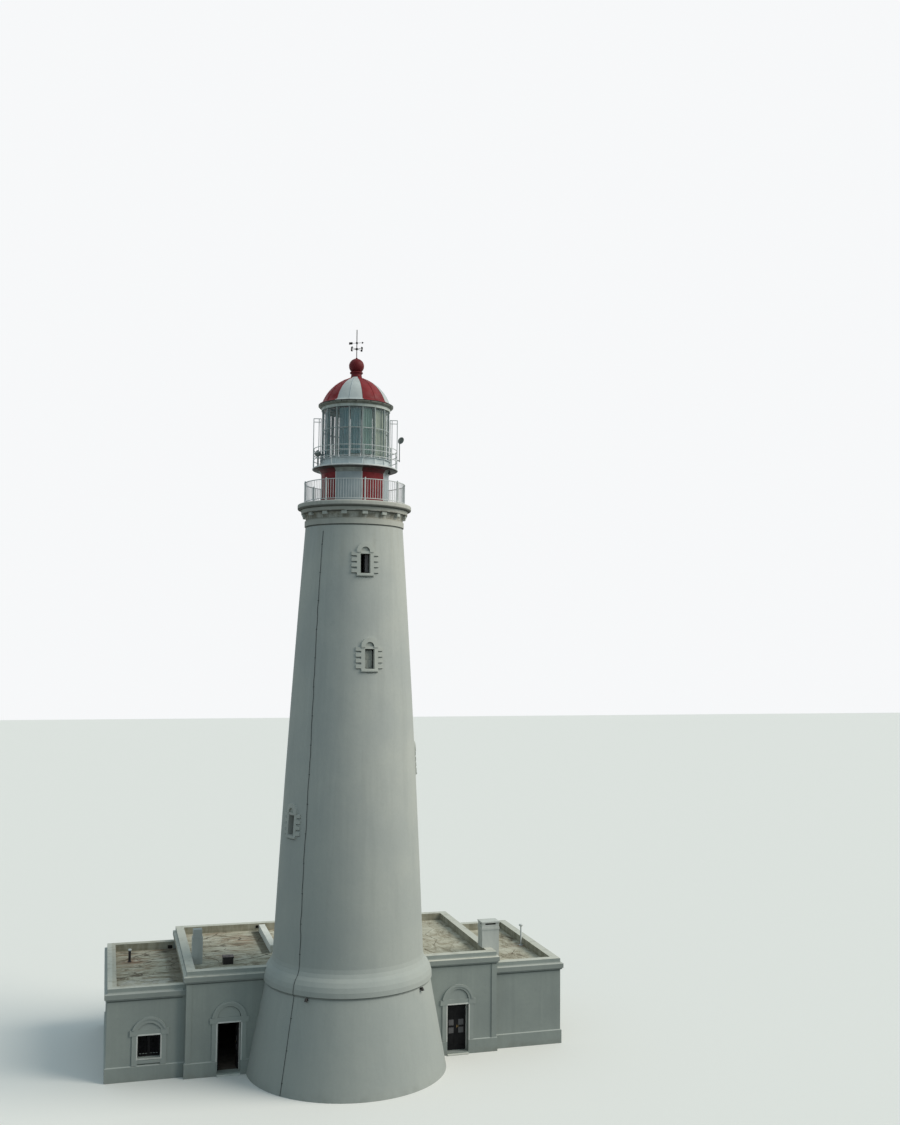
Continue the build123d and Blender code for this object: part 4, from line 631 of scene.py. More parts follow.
class Shape:
    """Faces gathered for one piece."""

    def __init__(self):
        self.v = []
        self.f = []

    def add(self, verts, faces, m=None):
        base = len(self.v)
        self.v += [tuple(m @ Vector(p)) if m is not None else tuple(p) for p in verts]
        self.f += [tuple(base + i for i in face) for face in faces]
        return self

    def box(self, c, s, m=None):
        x, y, z = (v / 2 for v in s)
        verts = [(c[0] + i * x, c[1] + j * y, c[2] + k * z) for i in (-1, 1) for j in (-1, 1) for k in (-1, 1)]
        faces = [(0, 1, 3, 2), (4, 6, 7, 5), (0, 4, 5, 1), (2, 3, 7, 6), (0, 2, 6, 4), (1, 5, 7, 3)]
        return self.add(verts, faces, m)

    def frame(self, c, outer, bar, depth, m=None):
        """Four bars round an opening, in the plane of x and y."""
        w, h = outer
        self.box((c[0], c[1] + h / 2 - bar / 2, c[2]), (w, bar, depth), m)
        self.box((c[0], c[1] - h / 2 + bar / 2, c[2]), (w, bar, depth), m)
        for side in (-1, 1):
            self.box((c[0] + side * (w / 2 - bar / 2), c[1], c[2]), (bar, h - 2 * bar, depth), m)
        return self

    def lathe(self, profile, segs=64, start=0.0, sweep=360.0, m=None):
        """Turn a profile of (radius, z) about the axis, from a bearing on."""
        whole = abs(sweep - 360) < 1e-6
        count = segs if whole else segs + 1
        verts = []
        for i in range(count):
            a = rad(start + sweep * i / segs)
            verts += [polar(a, r, z) for r, z in profile]
        n = len(profile)
        faces = []
        for i in range(segs):
            j = (i + 1) % count
            faces += [(i * n + k, j * n + k, j * n + k + 1, i * n + k + 1) for k in range(n - 1)]
        return self.add(verts, faces, m)

    def grid(self, rows, m=None):
        """Skin over rows of points that are all as long."""
        n = len(rows[0])
        verts = [p for row in rows for p in row]
        corners = [j * n + i for j in range(len(rows) - 1) for i in range(n - 1)]
        faces = [(c, c + 1, c + n + 1, c + n) for c in corners]
        return self.add(verts, faces, m)

    def tube(self, points, radius, sides=8, flat=1.0, out=None):
        """Closed bar along points; flat squeezes it towards the way out."""
        points = [Vector(p) for p in points]
        verts = []
        for i, p in enumerate(points):
            way = (points[min(i + 1, len(points) - 1)] - points[max(i - 1, 0)]).normalized()
            u = out(p) if out else (Vector((0, 0, 1)) if abs(way.z) < 0.9 else Vector((1, 0, 0)))
            side = way.cross(u).normalized()
            u = side.cross(way).normalized()
            for k in range(sides):
                t = 2 * math.pi * k / sides
                verts.append(tuple(p + side * math.cos(t) * radius + u * math.sin(t) * radius * flat))
        faces = []
        for i in range(len(points) - 1):
            low, high = i * sides, (i + 1) * sides
            for k in range(sides):
                after = (k + 1) % sides
                faces.append((low + k, low + after, high + after, high + k))
        faces += [tuple(range(sides - 1, -1, -1)), tuple(range(len(verts) - sides, len(verts)))]
        return self.add(verts, faces)

    def piece(self, name, material, body="building", bevel=0.0, smooth=True, slot=None, replaces=()):
        mesh = bpy.data.meshes.new(name)
        mesh.from_pydata(self.v, [], self.f)
        bm = bmesh.new()
        bm.from_mesh(mesh)
        bmesh.ops.remove_doubles(bm, verts=bm.verts, dist=0.0004)
        bmesh.ops.recalc_face_normals(bm, faces=bm.faces)
        if bevel:
            sharp = [e for e in bm.edges if len(e.link_faces) == 2 and e.calc_face_angle(0) > rad(40)]
            bmesh.ops.bevel(bm, geom=sharp, offset=bevel, segments=2, affect="EDGES", profile=0.6)
        for face in bm.faces:
            face.smooth = smooth
        for edge in bm.edges:
            edge.smooth = len(edge.link_faces) == 2 and edge.calc_face_angle(0) < rad(32)
        bm.to_mesh(mesh)
        bm.free()
        mesh.materials.append(material)
        obj = bpy.data.objects.new(name, mesh)
        bpy.context.collection.objects.link(obj)
        if replaces:
            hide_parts(*replaces)
        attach(obj, body)
        return obj


def arc3(a, b, c, count):
    """Points on the circle through three (radius, z) places."""
    ax, ay, bx, by, cx, cy = *a, *b, *c
    sa, sb, sc = ax**2 + ay**2, bx**2 + by**2, cx**2 + cy**2
    d = 2 * (ax * (by - cy) + bx * (cy - ay) + cx * (ay - by))
    ux = (sa * (by - cy) + sb * (cy - ay) + sc * (ay - by)) / d
    uy = (sa * (cx - bx) + sb * (ax - cx) + sc * (bx - ax)) / d
    r = math.hypot(ax - ux, ay - uy)
    t0, t1, t2 = (math.atan2(y - uy, x - ux) for x, y in (a, b, c))
    t1 = t0 + math.remainder(t1 - t0, 2 * math.pi)
    t2 = t1 + math.remainder(t2 - t1, 2 * math.pi)
    turns = (t0 + (t2 - t0) * k / count for k in range(count + 1))
    return [(ux + r * math.cos(t), uy + r * math.sin(t)) for t in turns]


SHAFT = arc3((3.385, 5.08), (2.855, 15.0), (2.25, 24.28), 60)


def wall_radius(z):
    """Outer radius of the tower's wall above the flare."""
    for (r0, z0), (r1, z1) in zip(SHAFT, SHAFT[1:]):
        if z0 <= z <= z1:
            return r0 + (r1 - r0) * (z - z0) / (z1 - z0)
    return SHAFT[-1][0]


def on_wall(bearing, x, z, lift=0.003):
    """Point on the tower's wall, x along it from a bearing."""
    r = wall_radius(z)
    a = rad(bearing) + math.asin(x / r)
    return polar(a, r + lift, z)


# ---------------------------------------------------------------- dome, gutter and finial
DOME = arc3((1.665, DOME_FOOT), (1.602, DOME_FOOT + 0.047), (1.56, FLARE_TOP), 5)
DOME += arc3((1.56, FLARE_TOP), (1.225, 30.70), (0.62, 31.19), 18)[1:]
DOME += arc3((0.62, 31.19), (0.392, DOME_TOP - 0.075), (0.262, DOME_TOP), 6)[1:]
INNER = [(r - 0.03, z - 0.012) for r, z in DOME]
for first, name, material, slot in (
    (-1, "dome_white_panels", WHITE, "white_metal"),
    (0, "dome_red_panels", RED, "red_metal"),
):
    shell = Shape()
    for count in range(0, 8, 2):
        start = (first + count) * 45
        shell.lathe(DOME, 16, start, 45)
        shell.lathe(INNER, 16, start, 45)
        for a in (start, start + 45):
            m = Matrix.Rotation(rad(a), 4, "Z")
            n = len(DOME)
            edge = [(0, -r, z) for r, z in DOME] + [(0, -r, z) for r, z in INNER]
            shell.add(edge, [(k, k + 1, n + k + 1, n + k) for k in range(n - 1)], m)
        for side in (0, -1):
            shell.lathe([DOME[side], INNER[side]], 16, start, 45)
    shell.piece("panels_of_" + name, material, slot=slot, replaces=(name,))

seams_white, seams_red = Shape(), Shape()
for k in range(16):
    m = Matrix.Rotation(rad(k * BAY), 4, "Z")
    line = DOME[:-2]
    low = [(side * 0.020, -r, z) for r, z in line for side in (-1, 1)]
    high = [(side * 0.009, -(r + 0.0112), z + 0.0084) for r, z in line for side in (-1, 1)]
    t = len(low)
    faces = []
    for a in range(0, t - 2, 2):
        b = a + 1
        faces += [(t + a, t + b, t + b + 2, t + a + 2), (a, t + a, t + a + 2, a + 2), (b, b + 2, t + b + 2, t + b)]
    (seams_white if k % 4 == 3 else seams_red).add(low + high, faces, m)
seams_white.piece("dome_seams_white", DRUM_WHITE, slot="white_metal")
seams_red.piece("dome_seams_red", RED, slot="red_metal")

scallops_white, scallops_red = Shape(), Shape()
for k in range(16):
    rows = []
    for i in range(11):
        t = i / 10
        a = rad((k + t) * BAY)
        drop = 0.032 * math.sin(math.pi * t)
        line = ((1.625, 0.040), (1.668, 0.012), (1.722, 0.004), (1.748, -0.012 - drop / 2), (1.742, -0.020 - drop / 2))
        rows.append([polar(a, r, max(DOME_FOOT + z, GUTTER_TOP - 0.002)) for r, z in line])
    (scallops_red if k % 4 in (0, 1) else scallops_white).grid(rows)
scallops_white.piece("dome_foot_flashing_white", WHITE, slot="white_metal")
scallops_red.piece("dome_foot_flashing_red", RED, slot="red_metal")

gutter_trim = Shape()
turns = [2 * math.pi * k / 10 for k in range(11)]
gutter_trim.lathe([(1.733 + 0.013 * math.cos(t), GUTTER_TOP - 0.004 + 0.013 * math.sin(t)) for t in turns], 96)
for k in range(16):
    gutter_trim.box((0, 0, 0), (0.055, 0.07, 0.012), spot((k + 0.5) * BAY, 1.738, 29.962))
gutter_trim.piece("gutter_rim_and_sleeves", BLACK, slot="black_metal")



def globe(radius, turns):
    """Profile of a ball about the origin, closed at both ends."""
    around = [(radius * math.sin(rad(a)), -radius * math.cos(rad(a))) for a in turns]
    return [(AXIS, -radius)] + around + [(AXIS, radius)]


finial = Shape()
finial.lathe(globe(0.355, range(6, 180, 6)), 48, m=move((0, 0, BALL)))
finial.lathe(
    [
        (AXIS, DOME_TOP), (0.262, DOME_TOP), (0.270, DOME_TOP + 0.02), (0.258, DOME_TOP + 0.045),
        (0.246, DOME_TOP + 0.12), (0.250, COLLAR_TOP - 0.015), (0.285, COLLAR_TOP - 0.004),
        (0.305, COLLAR_TOP + 0.02), (0.305, COLLAR_TOP + 0.052), (0.285, COLLAR_TOP + 0.072),
        (0.225, COLLAR_TOP + 0.078), (0.215, COLLAR_TOP + 0.10), (0.245, COLLAR_TOP + 0.13), (AXIS, COLLAR_TOP + 0.13),
    ],
    48,
)
socket = [(AXIS, 0.345), (0.055, 0.345), (0.055, 0.375), (0.03, 0.40), (AXIS, 0.40)]
finial.lathe(socket, 20, m=move((0, 0, BALL)))
finial.piece("finial_ball_and_collar", RED, slot="red_metal", replaces=("finial",))


# ---------------------------------------------------------------- lantern: curtains, fittings
def curtain_run(name, start, sweep, seed, foot=CURB_TOP + 0.10):
    """One hung curtain behind a pane, with folds that open a little towards its foot."""
    pick = random.Random(seed)
    folds, rows, depth = 4, 14, 0.015
    cols = folds * 10
    top = PANE_TOP - 0.05
    phase = [pick.uniform(-0.6, 0.6) for _ in range(folds + 2)]
    size = [pick.uniform(0.6, 1.25) for _ in range(folds + 2)]
    skew = pick.uniform(-0.02, 0.02)
    grid = []
    for j in range(rows + 1):
        v = j / rows
        line = []
        for i in range(cols + 1):
            u = i / cols
            k = u * folds
            a = int(min(k, folds - 1e-6))
            t = k - a
            amp = depth * (size[a] * (1 - t) + size[a + 1] * t) * (0.75 + 0.35 * v)
            wave = math.sin(2 * math.pi * k + phase[a] * (1 - t) + phase[a + 1] * t + 0.35 * v)
            b = rad(start + sweep * u + 0.35 * math.sin(5 * v + seed) * v)
            z = top + (foot + skew * (u - 0.5) - top) * v
            line.append(Vector(polar(b, CURTAIN_RADIUS + amp * wave, z)))
        grid.append(line)
    obj = Shape().grid(grid).piece(name, CURTAIN)


PARTED_PANE, OPEN_PANE = 1, 5
for k in range(16):
    middle = (k + 0.5) * BAY - 180
    if k == PARTED_PANE:
        curtain_run("curtain_left_half", middle - 9.6, 7.9, 31)
        curtain_run("curtain_right_half", middle + 1.6, 8.0, 32)
    elif k != OPEN_PANE:
        curtain_run("curtain_%02d" % k, middle - 9.6, 19.2, k + 1, foot=CURB_TOP + (0.16 if k % 3 else 0.10))
rail = Shape()
rail.tube([spot(a, CURTAIN_RADIUS, PANE_TOP - 0.035).translation for a in range(0, 361, 5)], 0.012, 8)
for a in range(0, 360, 45):
    rail.box((0, 0, 0), (0.02, 0.035, 0.075), spot(a + 11, 1.44, PANE_TOP - 0.02))
rail.piece("curtain_rail", STEEL, slot="grey_metal")

# Glazing strips with their screws on the mullions
caps = Shape()
for k in range(16):
    m = spot(k * BAY, MULLION_RADIUS, 0)
    caps.box((0, (CURB_TOP + PANE_TOP) / 2, 0), (0.016, PANE_TOP - CURB_TOP, 0.008), m)
    for z in (27.6, 28.2, 28.77, 29.2, 29.65):
        caps.box((0, z, 0.006), (0.012, 0.012, 0.005), m)
caps.piece("mullion_cover_strips", BARS, bevel=0.0015, slot="white_metal")

curb_trim = Shape()
upper = [(1.575, 0.004), (1.640, -0.006), (1.640, -0.026), (1.580, -0.030)]
lower = [(1.575, 0.055), (1.612, 0.045), (1.612, 0.004), (1.575, 0.004)]
curb_trim.lathe(upper, 64, m=move((0, 0, CURB_TOP)))
curb_trim.lathe(lower, 64, m=move((0, 0, DECK)))
for k in range(16):
    curb_trim.box((0, 0, 0), (0.05, 0.30, 0.014), spot(k * BAY, MULLION_RADIUS + 0.001, DECK + 0.2))
curb_trim.piece("curb_mouldings", PALE, slot="pale_blue_metal")

# Deck nosing, and the small lamp that hangs from the cove
nosing = Shape()
edge = [(1.950, 0.001), (1.960, 0.005), (1.981, -0.012), (1.988, -0.022), (1.988, -0.058), (1.980, -0.066)]
nosing.lathe(edge, 96, m=move((0, 0, DECK)))
nosing.piece("deck_nosing", RAIL, slot="white_metal")
under = Shape()
hang = move(spot(55, 1.735, 26.885).translation)
shade = [(0.018, -0.02), (0.045, -0.03), (0.075, -0.09), (0.080, -0.135), (0.060, -0.150), (AXIS, -0.15)]
under.lathe([(AXIS, 0.03), (0.018, 0.03)] + shade, 20, m=hang)
under.piece("lamp_under_deck", BLACK, slot="black_metal")

# ---------------------------------------------------------------- service room
battens = Shape()
for k in range(8):
    m = spot(k * 45, 1.574, GALLERY + 0.78)
    battens.box((0, 0, 0), (0.045, 1.30, 0.010), m)
    for i in range(8):
        battens.box((0, -0.60 + i * 0.165, 0.007), (0.013, 0.013, 0.006), m)
battens.piece("drum_joint_straps", RAIL, bevel=0.002, slot="white_metal")
drum_foot = Shape()
angle = [(1.572, 0.085), (1.598, 0.075), (1.610, 0.003), (1.572, 0.003)]
drum_foot.lathe(angle, 64, 176.0, 323.0, move((0, 0, GALLERY)))
drum_foot.piece("drum_foot_angle", DRUM_WHITE, slot="white_metal")
door_parts = Shape()
m = spot(157.5, 1.560, GALLERY + 0.12 + 0.675)
door_parts.frame((0, 0.33, 0), (0.44, 0.46), 0.03, 0.012, m)
door_parts.frame((0, -0.29, 0), (0.44, 0.56), 0.03, 0.012, m)
for z in (0.45, -0.45):
    door_parts.box((-0.295, z, 0.006), (0.07, 0.11, 0.012), m)
door_parts.piece("drum_door_mouldings", RED, bevel=0.003, slot="red_metal")
handle = Shape()
handle.box((0.275, 0.0, 0.010), (0.035, 0.14, 0.010), m)
grip = ((0.275, 0.02, 0.012), (0.275, 0.02, 0.045), (0.19, 0.02, 0.050))
handle.tube([m @ Vector(p) for p in grip], 0.009)
handle.piece("drum_door_handle", STEEL, slot="grey_metal")

# Post feet and caps of both railings
feet = Shape()
knob = [(AXIS, 0.0), (0.036, 0.0), (0.042, 0.012), (0.030, 0.022), (0.034, 0.034), (0.022, 0.055), (AXIS, 0.062)]
for k in range(8):
    m = spot(k * 45, GALLERY_RAIL, GALLERY)
    feet.box((0, 0.010, 0), (0.13, 0.018, 0.12), m)
    feet.lathe(knob, 16, m=move(m @ Vector((0, 1.0, 0))))
    feet.box((0, 0.008, 0), (0.08, 0.014, 0.06), spot(k * 45, DECK_RAIL, DECK))
feet.piece("railing_feet_and_caps", RAIL, slot="white_metal")

# ---------------------------------------------------------------- dish and gallery lamp
DISH = spot(SIDE_BEARING, 2.150, 28.43).translation
dish = Shape()
dish.box((0, 0, 0), (0.03, 0.045, 0.15), spot(SIDE_BEARING, 2.01, DECK + 0.46))
dish.tube([spot(SIDE_BEARING, 2.062, z).translation for z in (DECK + 0.40, 28.46)], 0.022, 12)
bowl = [(AXIS, 0.0), (0.06, 0.004), (0.11, 0.016), (0.155, 0.034), (0.170, 0.046)]
bowl += [(0.168, 0.053), (0.152, 0.041), (0.11, 0.023), (0.06, 0.011), (AXIS, 0.007)]
tilt = move(DISH) @ spot(-50, -0.02, 0.0).to_3x3().to_4x4() @ Matrix.Rotation(rad(-12), 4, "X")
dish.lathe(bowl, 36, m=tilt)
dish.box((0, 0, -0.030), (0.05, 0.05, 0.06), tilt)
dish.tube([tilt @ Vector(p) for p in ((0, -0.160, 0.045), (0, -0.08, 0.13), (0, 0.0, 0.16))], 0.006)
dish.tube([tilt @ Vector(p) for p in ((0, 0.0, 0.13), (0, 0.0, 0.175))], 0.02)
dish.piece("dish_on_pole", GREY, slot="white_metal", replaces=("dish",))

LAMP = Vector((-1.77, 0, 27.68))
lamp = Shape()
lamp.lathe(globe(0.14, range(2, 180, 11)), 32, m=move(LAMP))
lamp.lathe([(0.138, -0.016), (0.150, -0.016), (0.150, 0.016), (0.138, 0.016)], 32, m=move(LAMP))
lamp.lathe([(0.055, 0.125), (0.060, 0.150), (0.030, 0.165), (AXIS, 0.168)], 20, m=move(LAMP))
lamp.tube([(LAMP.x, 0, DECK + 0.002), (LAMP.x, 0, LAMP.z - 0.13)], 0.025, 12)
foot = [(AXIS, 0.0), (0.07, 0.0), (0.07, 0.014), (0.03, 0.02), (AXIS, 0.02)]
lamp.lathe(foot, 20, m=move((LAMP.x, 0, DECK)))
lamp.piece("gallery_lamp_on_stem", GREY, slot="grey_metal", replaces=("gallery_lamp",))

# ---------------------------------------------------------------- shaft: conductor, ring fittings
RIDE = [(GROUND_RADIUS, 0.0), (RING_RADIUS, 3.945), (3.80, 4.0)] + arc3((3.79, 4.01), (3.75, 4.34), (3.62, 4.60), 5)
RIDE += arc3((3.62, 4.60), (3.45, 4.83), (3.385, 5.08), 6)[1:] + SHAFT[1:-1]


def out_of_axis(p):
    return Vector((p.x, p.y, 0)).normalized()


def conductor_bearing(z):
    """The strap wanders a little to both sides on its way up."""
    return CONDUCTOR + 0.5 * math.sin(z * 0.55)


strap = Shape()
path = []
drift = random.Random(2)
for r, z in RIDE:
    lean = conductor_bearing(z) + (0.4 * drift.uniform(-1, 1) if z > 6 else 0.0)
    path.append(spot(lean, r + 0.010, max(z, 0.01)).translation)
strap.tube(path, 0.017, 6, 0.5, out_of_axis)
strap.piece("conductor_strap", CABLE, slot="black_metal")
clips = Shape()
for i in range(19):
    z = 0.5 + 1.27 * i
    if 3.7 < z < 5.0:
        continue
    r = GROUND_RADIUS - (GROUND_RADIUS - RING_RADIUS) * z / BASE_TOP if z < BASE_TOP else wall_radius(z)
    clips.box((0, 0, 0.008), (0.085, 0.024, 0.016), spot(conductor_bearing(z), r, z))
clips.piece("conductor_clips", CABLE, bevel=0.003, slot="black_metal")

fittings = Shape()
shade = [(AXIS, -0.075), (0.045, -0.075), (0.055, -0.06), (0.060, 0.03)]
shade += [(0.075, 0.075), (0.070, 0.078), (0.050, 0.045), (AXIS, 0.04)]
for b in (-38.6, 46.7):
    m = spot(b, 3.730, 3.885)
    fittings.box((0, 0, 0.012), (0.11, 0.09, 0.03), m)
    fittings.box((0, 0.005, 0.05), (0.035, 0.03, 0.08), m)
    turn = m @ move((0, -0.005, 0.10)) @ Matrix.Rotation(rad(70), 4, "X")
    fittings.lathe(shade, 20, m=turn)
fittings.piece("ring_fittings", BLACK, slot="black_metal")

# ---------------------------------------------------------------- tower windows
sash, panes, shutters, hinges = Shape(), Shape(), Shape(), Shape()
for index, (bearing, z) in enumerate(TOWER_WINDOWS):
    m = spot(bearing, wall_radius(z) - 0.285, z)
    sash.frame((0, 0, 0), (0.438, 0.868), 0.032, 0.07, m)
    sash.box((0, 0, 0.005), (0.026, 0.806, 0.05), m)
    for side in (-1, 1):
        if (index, side) in ((0, -1), (2, 1)):
            leaf = m @ move((side * 0.185, 0, -0.03)) @ Matrix.Rotation(rad(side * 98), 4, "Y")
            centre = -side * 0.095
        else:
            leaf, centre = m @ move((0, 0, 0.020)), side * 0.112
        sash.frame((centre, 0, 0.0), (0.174, 0.80), 0.016, 0.034, leaf)
        panes.box((centre, 0, 0.010), (0.148, 0.776, 0.004), leaf)
    if index == 1:
        for side in (-1, 1):
            front = m @ move((-0.028 + side * 0.094, -0.030, 0.10))
            shutters.frame((0, 0, 0), (0.184, 0.80), 0.030, 0.030, front)
            shutters.box((0, 0.02, 0), (0.13, 0.028, 0.030), front)
            for part in (-1, 1):
                mid = 0.02 + part * 0.20
                shutters.box((0, mid, -0.004), (0.14, 0.36, 0.014), front)
                shutters.box((0, mid, 0.006), (0.09, 0.29, 0.012), front)
            for rise in (-0.3, 0.3):
                hinges.box((side * 0.082, rise, 0.018), (0.03, 0.07, 0.008), front)
sash.piece("tower_window_sashes", SASH, bevel=0.003, slot="dark_sash", replaces=("tower_sashes",))
panes.piece("tower_window_panes", GREY_GLASS, smooth=False, slot="lantern_glass")
shutters.piece("tower_window_shutters", SHUTTER, bevel=0.003, slot="white_frame")
hinges.piece("shutter_hinges", GREY, bevel=0.001, slot="grey_metal")

# Painted shadow strips below the quoin blocks and sills, and inside the round heads
grime_and_painted_shadow = Shape()


def shadow_rows(run, seed):
    """Rows of a ragged strip below a line of points given as (x, top, width)."""
    pick = random.Random(seed)
    return [[(x, top), (x, top - width * pick.uniform(0.75, 1.15))] for x, top, width in run]


def shadow_on_shaft(bearing, run, seed):
    grime_and_painted_shadow.grid([[on_wall(bearing, x, h) for x, h in line] for line in shadow_rows(run, seed)])


for index, (bearing, z) in enumerate(TOWER_WINDOWS):
    for row in range(4):
        level = z + 0.05 + (row - 1.5) * 0.255 - 0.0825
        for side in (-1, 1):
            width = 0.036 if side < 0 else 0.028
            run = [(side * x, level, width) for x in (0.392, 0.45, 0.52, 0.585, 0.612)]
            shadow_on_shaft(bearing, run, index * 9 + row)
    run = [(x / 20, z - 0.586, 0.045 * (1 - abs(x) / 14)) for x in range(-8, 9, 2)]
    shadow_on_shaft(bearing, run, index + 70)
    crown = spot(bearing, wall_radius(z) - 0.0365, z + 0.545)
    arc = [(rad(8 + 13.5 * i), 0.045 * (1 - i / 11)) for i in range(11)]
    grime_and_painted_shadow.grid([[(r * math.cos(a), r * math.sin(a), 0) for r in (0.199, 0.199 - width)] for a, width in arc], crown)

# ---------------------------------------------------------------- house windows and doors
rims, house_sash, house_panes, aprons, glints = Shape(), Shape(), Shape(), Shape(), Shape()
for index, (x, y, way) in enumerate(HOUSE_WINDOWS):
    wall = face(x, y, way)
    front = wall @ move((0, WINDOW_MIDDLE, 0))
    rims.frame((0, 0, 0.022), (1.078, 1.078), 0.056, 0.050, front)
    back = front @ move((0, 0, -0.28))
    house_sash.frame((0, 0, 0), (0.968, 0.968), 0.030, 0.065, back)
    for side in (-1, 1):
        house_sash.frame((side * 0.228, 0, 0), (0.448, 0.904), 0.042, 0.042, back)
        house_panes.box((side * 0.228, 0, -0.004), (0.38, 0.83, 0.006), back)
        # Three grey specks along the foot of each pane: painted glints.
        for piece in range(3):
            glints.box((side * (0.105 + 0.125 * piece), -0.372, 0.004), (0.085, 0.020, 0.004), back)
    aprons.box((0, 0.785, 0.014), (1.02, 0.150, 0.030), wall)
    # Painted shadow under each apron.
    strip = [(0.05 * k, 0.712, 0.048) for k in range(-14, 15, 2)]
    grime_and_painted_shadow.grid([[(u, h, 0.004) for u, h in line] for line in shadow_rows(strip, index + 40)], wall)
OPENINGS = [(x, y, way, 1.90, 0.485, 0.28) for x, y, way in HOUSE_WINDOWS]
OPENINGS += [(side * DOOR_X, DOOR_WALL, -1, DOOR_HEAD, 0.51, 0.47) for side in (-1, 1)]
# Painted shadow along the inside of each round head, widest on the right.
for x, y, way, head, half, tympanum in OPENINGS:
    wall = face(x, y, way) @ move((0, head + 0.24, 0.0105))
    arc = []
    for k in range(17):
        a = rad(k * 180 / 16)
        soft = 0.022 + 0.016 * max(0.0, math.cos(a * 0.8))
        arc.append([((half - w) * math.cos(a), (tympanum - w) * math.sin(a), 0) for w in (0.001, soft)])
    grime_and_painted_shadow.grid(arc, wall)
grime_and_painted_shadow.piece("painted_shadow_strips", SHADOW_PAINT, smooth=False, slot="white_render")
house_sash.piece("house_window_sashes", SASH, bevel=0.003, slot="dark_sash", replaces=("house_sashes",))
house_panes.piece("house_window_panes", DARK_GLASS, smooth=False, slot="lantern_glass")
glints.piece("house_window_painted_glints", GREY, bevel=0.001, slot="dark_sash")
aprons.piece("house_window_aprons", TRIM, bevel=0.006, slot="white_render")

for side in (-1, 1):
    m = face(side * DOOR_X, DOOR_WALL, -1)
    for edge in (-1, 1):
        rims.box((edge * 0.538, (DOOR_HEAD + 0.11) / 2, 0.022), (0.056, DOOR_HEAD - 0.11, 0.050), m)
    rims.box((0, DOOR_HEAD + 0.028, 0.022), (1.132, 0.056, 0.050), m)
rims.piece("opening_rims", FRAME, bevel=0.005, slot="white_frame")

for side, house_side, swing in ((-1, "left", DOOR_OPEN), (1, "right", 0)):
    for edge, leaf_side in ((-1, "left"), (1, "right")):
        body = house_side + "_door_" + leaf_side + "_leaf"
        hinge = (side * DOOR_X + edge * 0.467, HINGE_Y, LEAF_LIFT)
        m = move(hinge) @ Matrix.Rotation(rad(-edge * swing), 4, "Z")
        m = m @ Matrix(((1, 0, 0, 0), (0, 0, -1, -0.0315), (0, 1, 0, 0), (0, 0, 0, 1)))
        mid = -edge * 0.2335
        beads, lights = Shape(), Shape()
        for z, h in ((0.885, 0.285), (1.24, 0.285), (0.43, 0.52), (1.65, 0.47)):
            for way in (-1, 1):
                beads.frame((mid, z, way * 0.0205), (0.276, h + 0.010), 0.014, 0.009, m)
                if h < 0.3:
                    lights.box((mid, z, way * 0.0125), (0.256, h - 0.006, 0.004), m)
                else:
                    beads.box((mid, z, way * 0.0135), (0.20, h - 0.06, 0.006), m)
        beads.piece(body + "_mouldings", DOOR, body=body, bevel=0.002, slot="black_door")
        lights.piece(body + "_panes", GREY_GLASS, body=body, smooth=False, slot="lantern_glass")
        if edge == 1:
            knob = Shape()
            for way in (-1, 1):
                knob.box((-0.43, 1.06, way * 0.0240), (0.030, 0.12, 0.003), m)
                lever = ((-0.43, 1.07, way * 0.022), (-0.43, 1.07, way * 0.062), (-0.34, 1.07, way * 0.064))
                knob.tube([m @ Vector(p) for p in lever], 0.008)
            knob.piece(body + "_handle", BRASS, body=body, slot="grey_metal")

trims = Shape()
for side in (-1, 1):
    m = face(side * DOOR_X, DOOR_WALL + 0.25, -1)
    trims.box((0, DOOR_HEAD - 0.018, 0.006), (1.0, 0.022, 0.012), m)
    for edge in (-1, 1):
        trims.box((edge * 0.492, 1.18, 0.006), (0.018, 2.10, 0.012), m)
trims.piece("door_frame_beads", FRAME, bevel=0.003, slot="white_frame")

# ---------------------------------------------------------------- roof pieces
vents_dark, vents_white = Shape(), Shape()
left_pipe = [(0.10, 0.002), (0.10, 0.02), (0.066, 0.045), (0.060, 0.09), (0.060, 0.54), (AXIS, 0.54)]
left_cap = [(AXIS, 0.53), (0.068, 0.53), (0.085, 0.545), (0.085, 0.58), (0.060, 0.61), (AXIS, 0.62)]
right_pipe = [(0.11, 0.002), (0.11, 0.02), (0.050, 0.045), (0.040, 0.09), (0.040, 0.97), (AXIS, 0.97)]
right_cap = [(AXIS, 0.945), (0.05, 0.945), (0.095, 0.985), (0.11, 1.02), (0.095, 1.055), (0.05, 1.07), (AXIS, 1.07)]
vents_dark.lathe(left_pipe, 24, m=move(LEFT_VENT))
vents_white.lathe(left_cap, 24, m=move(LEFT_VENT))
vents_white.lathe(right_pipe, 24, m=move(RIGHT_VENT))
vents_white.lathe(right_cap, 24, m=move(RIGHT_VENT))
vents_dark.piece("left_vent_pipe", BLACK, slot="black_metal", replaces=("roof_vents",))
vents_white.piece("vent_caps_and_right_pipe", RAIL, slot="white_metal")

hatch = Shape()
lid = move((-5.12, 2.56, CENTRAL_ROOF))
hatch.box((0, 0, 0.312), (0.52, 0.52, 0.03), lid)
hatch.box((0, 0, 0.285), (0.50, 0.50, 0.03), lid)
grip = ((-0.08, -0.27, 0.30), (-0.08, -0.288, 0.33), (0.08, -0.288, 0.33), (0.08, -0.27, 0.30))
hatch.tube([lid @ Vector(p) for p in grip], 0.008)
hatch.piece("hatch_lid", BLACK, bevel=0.004, slot="black_metal")

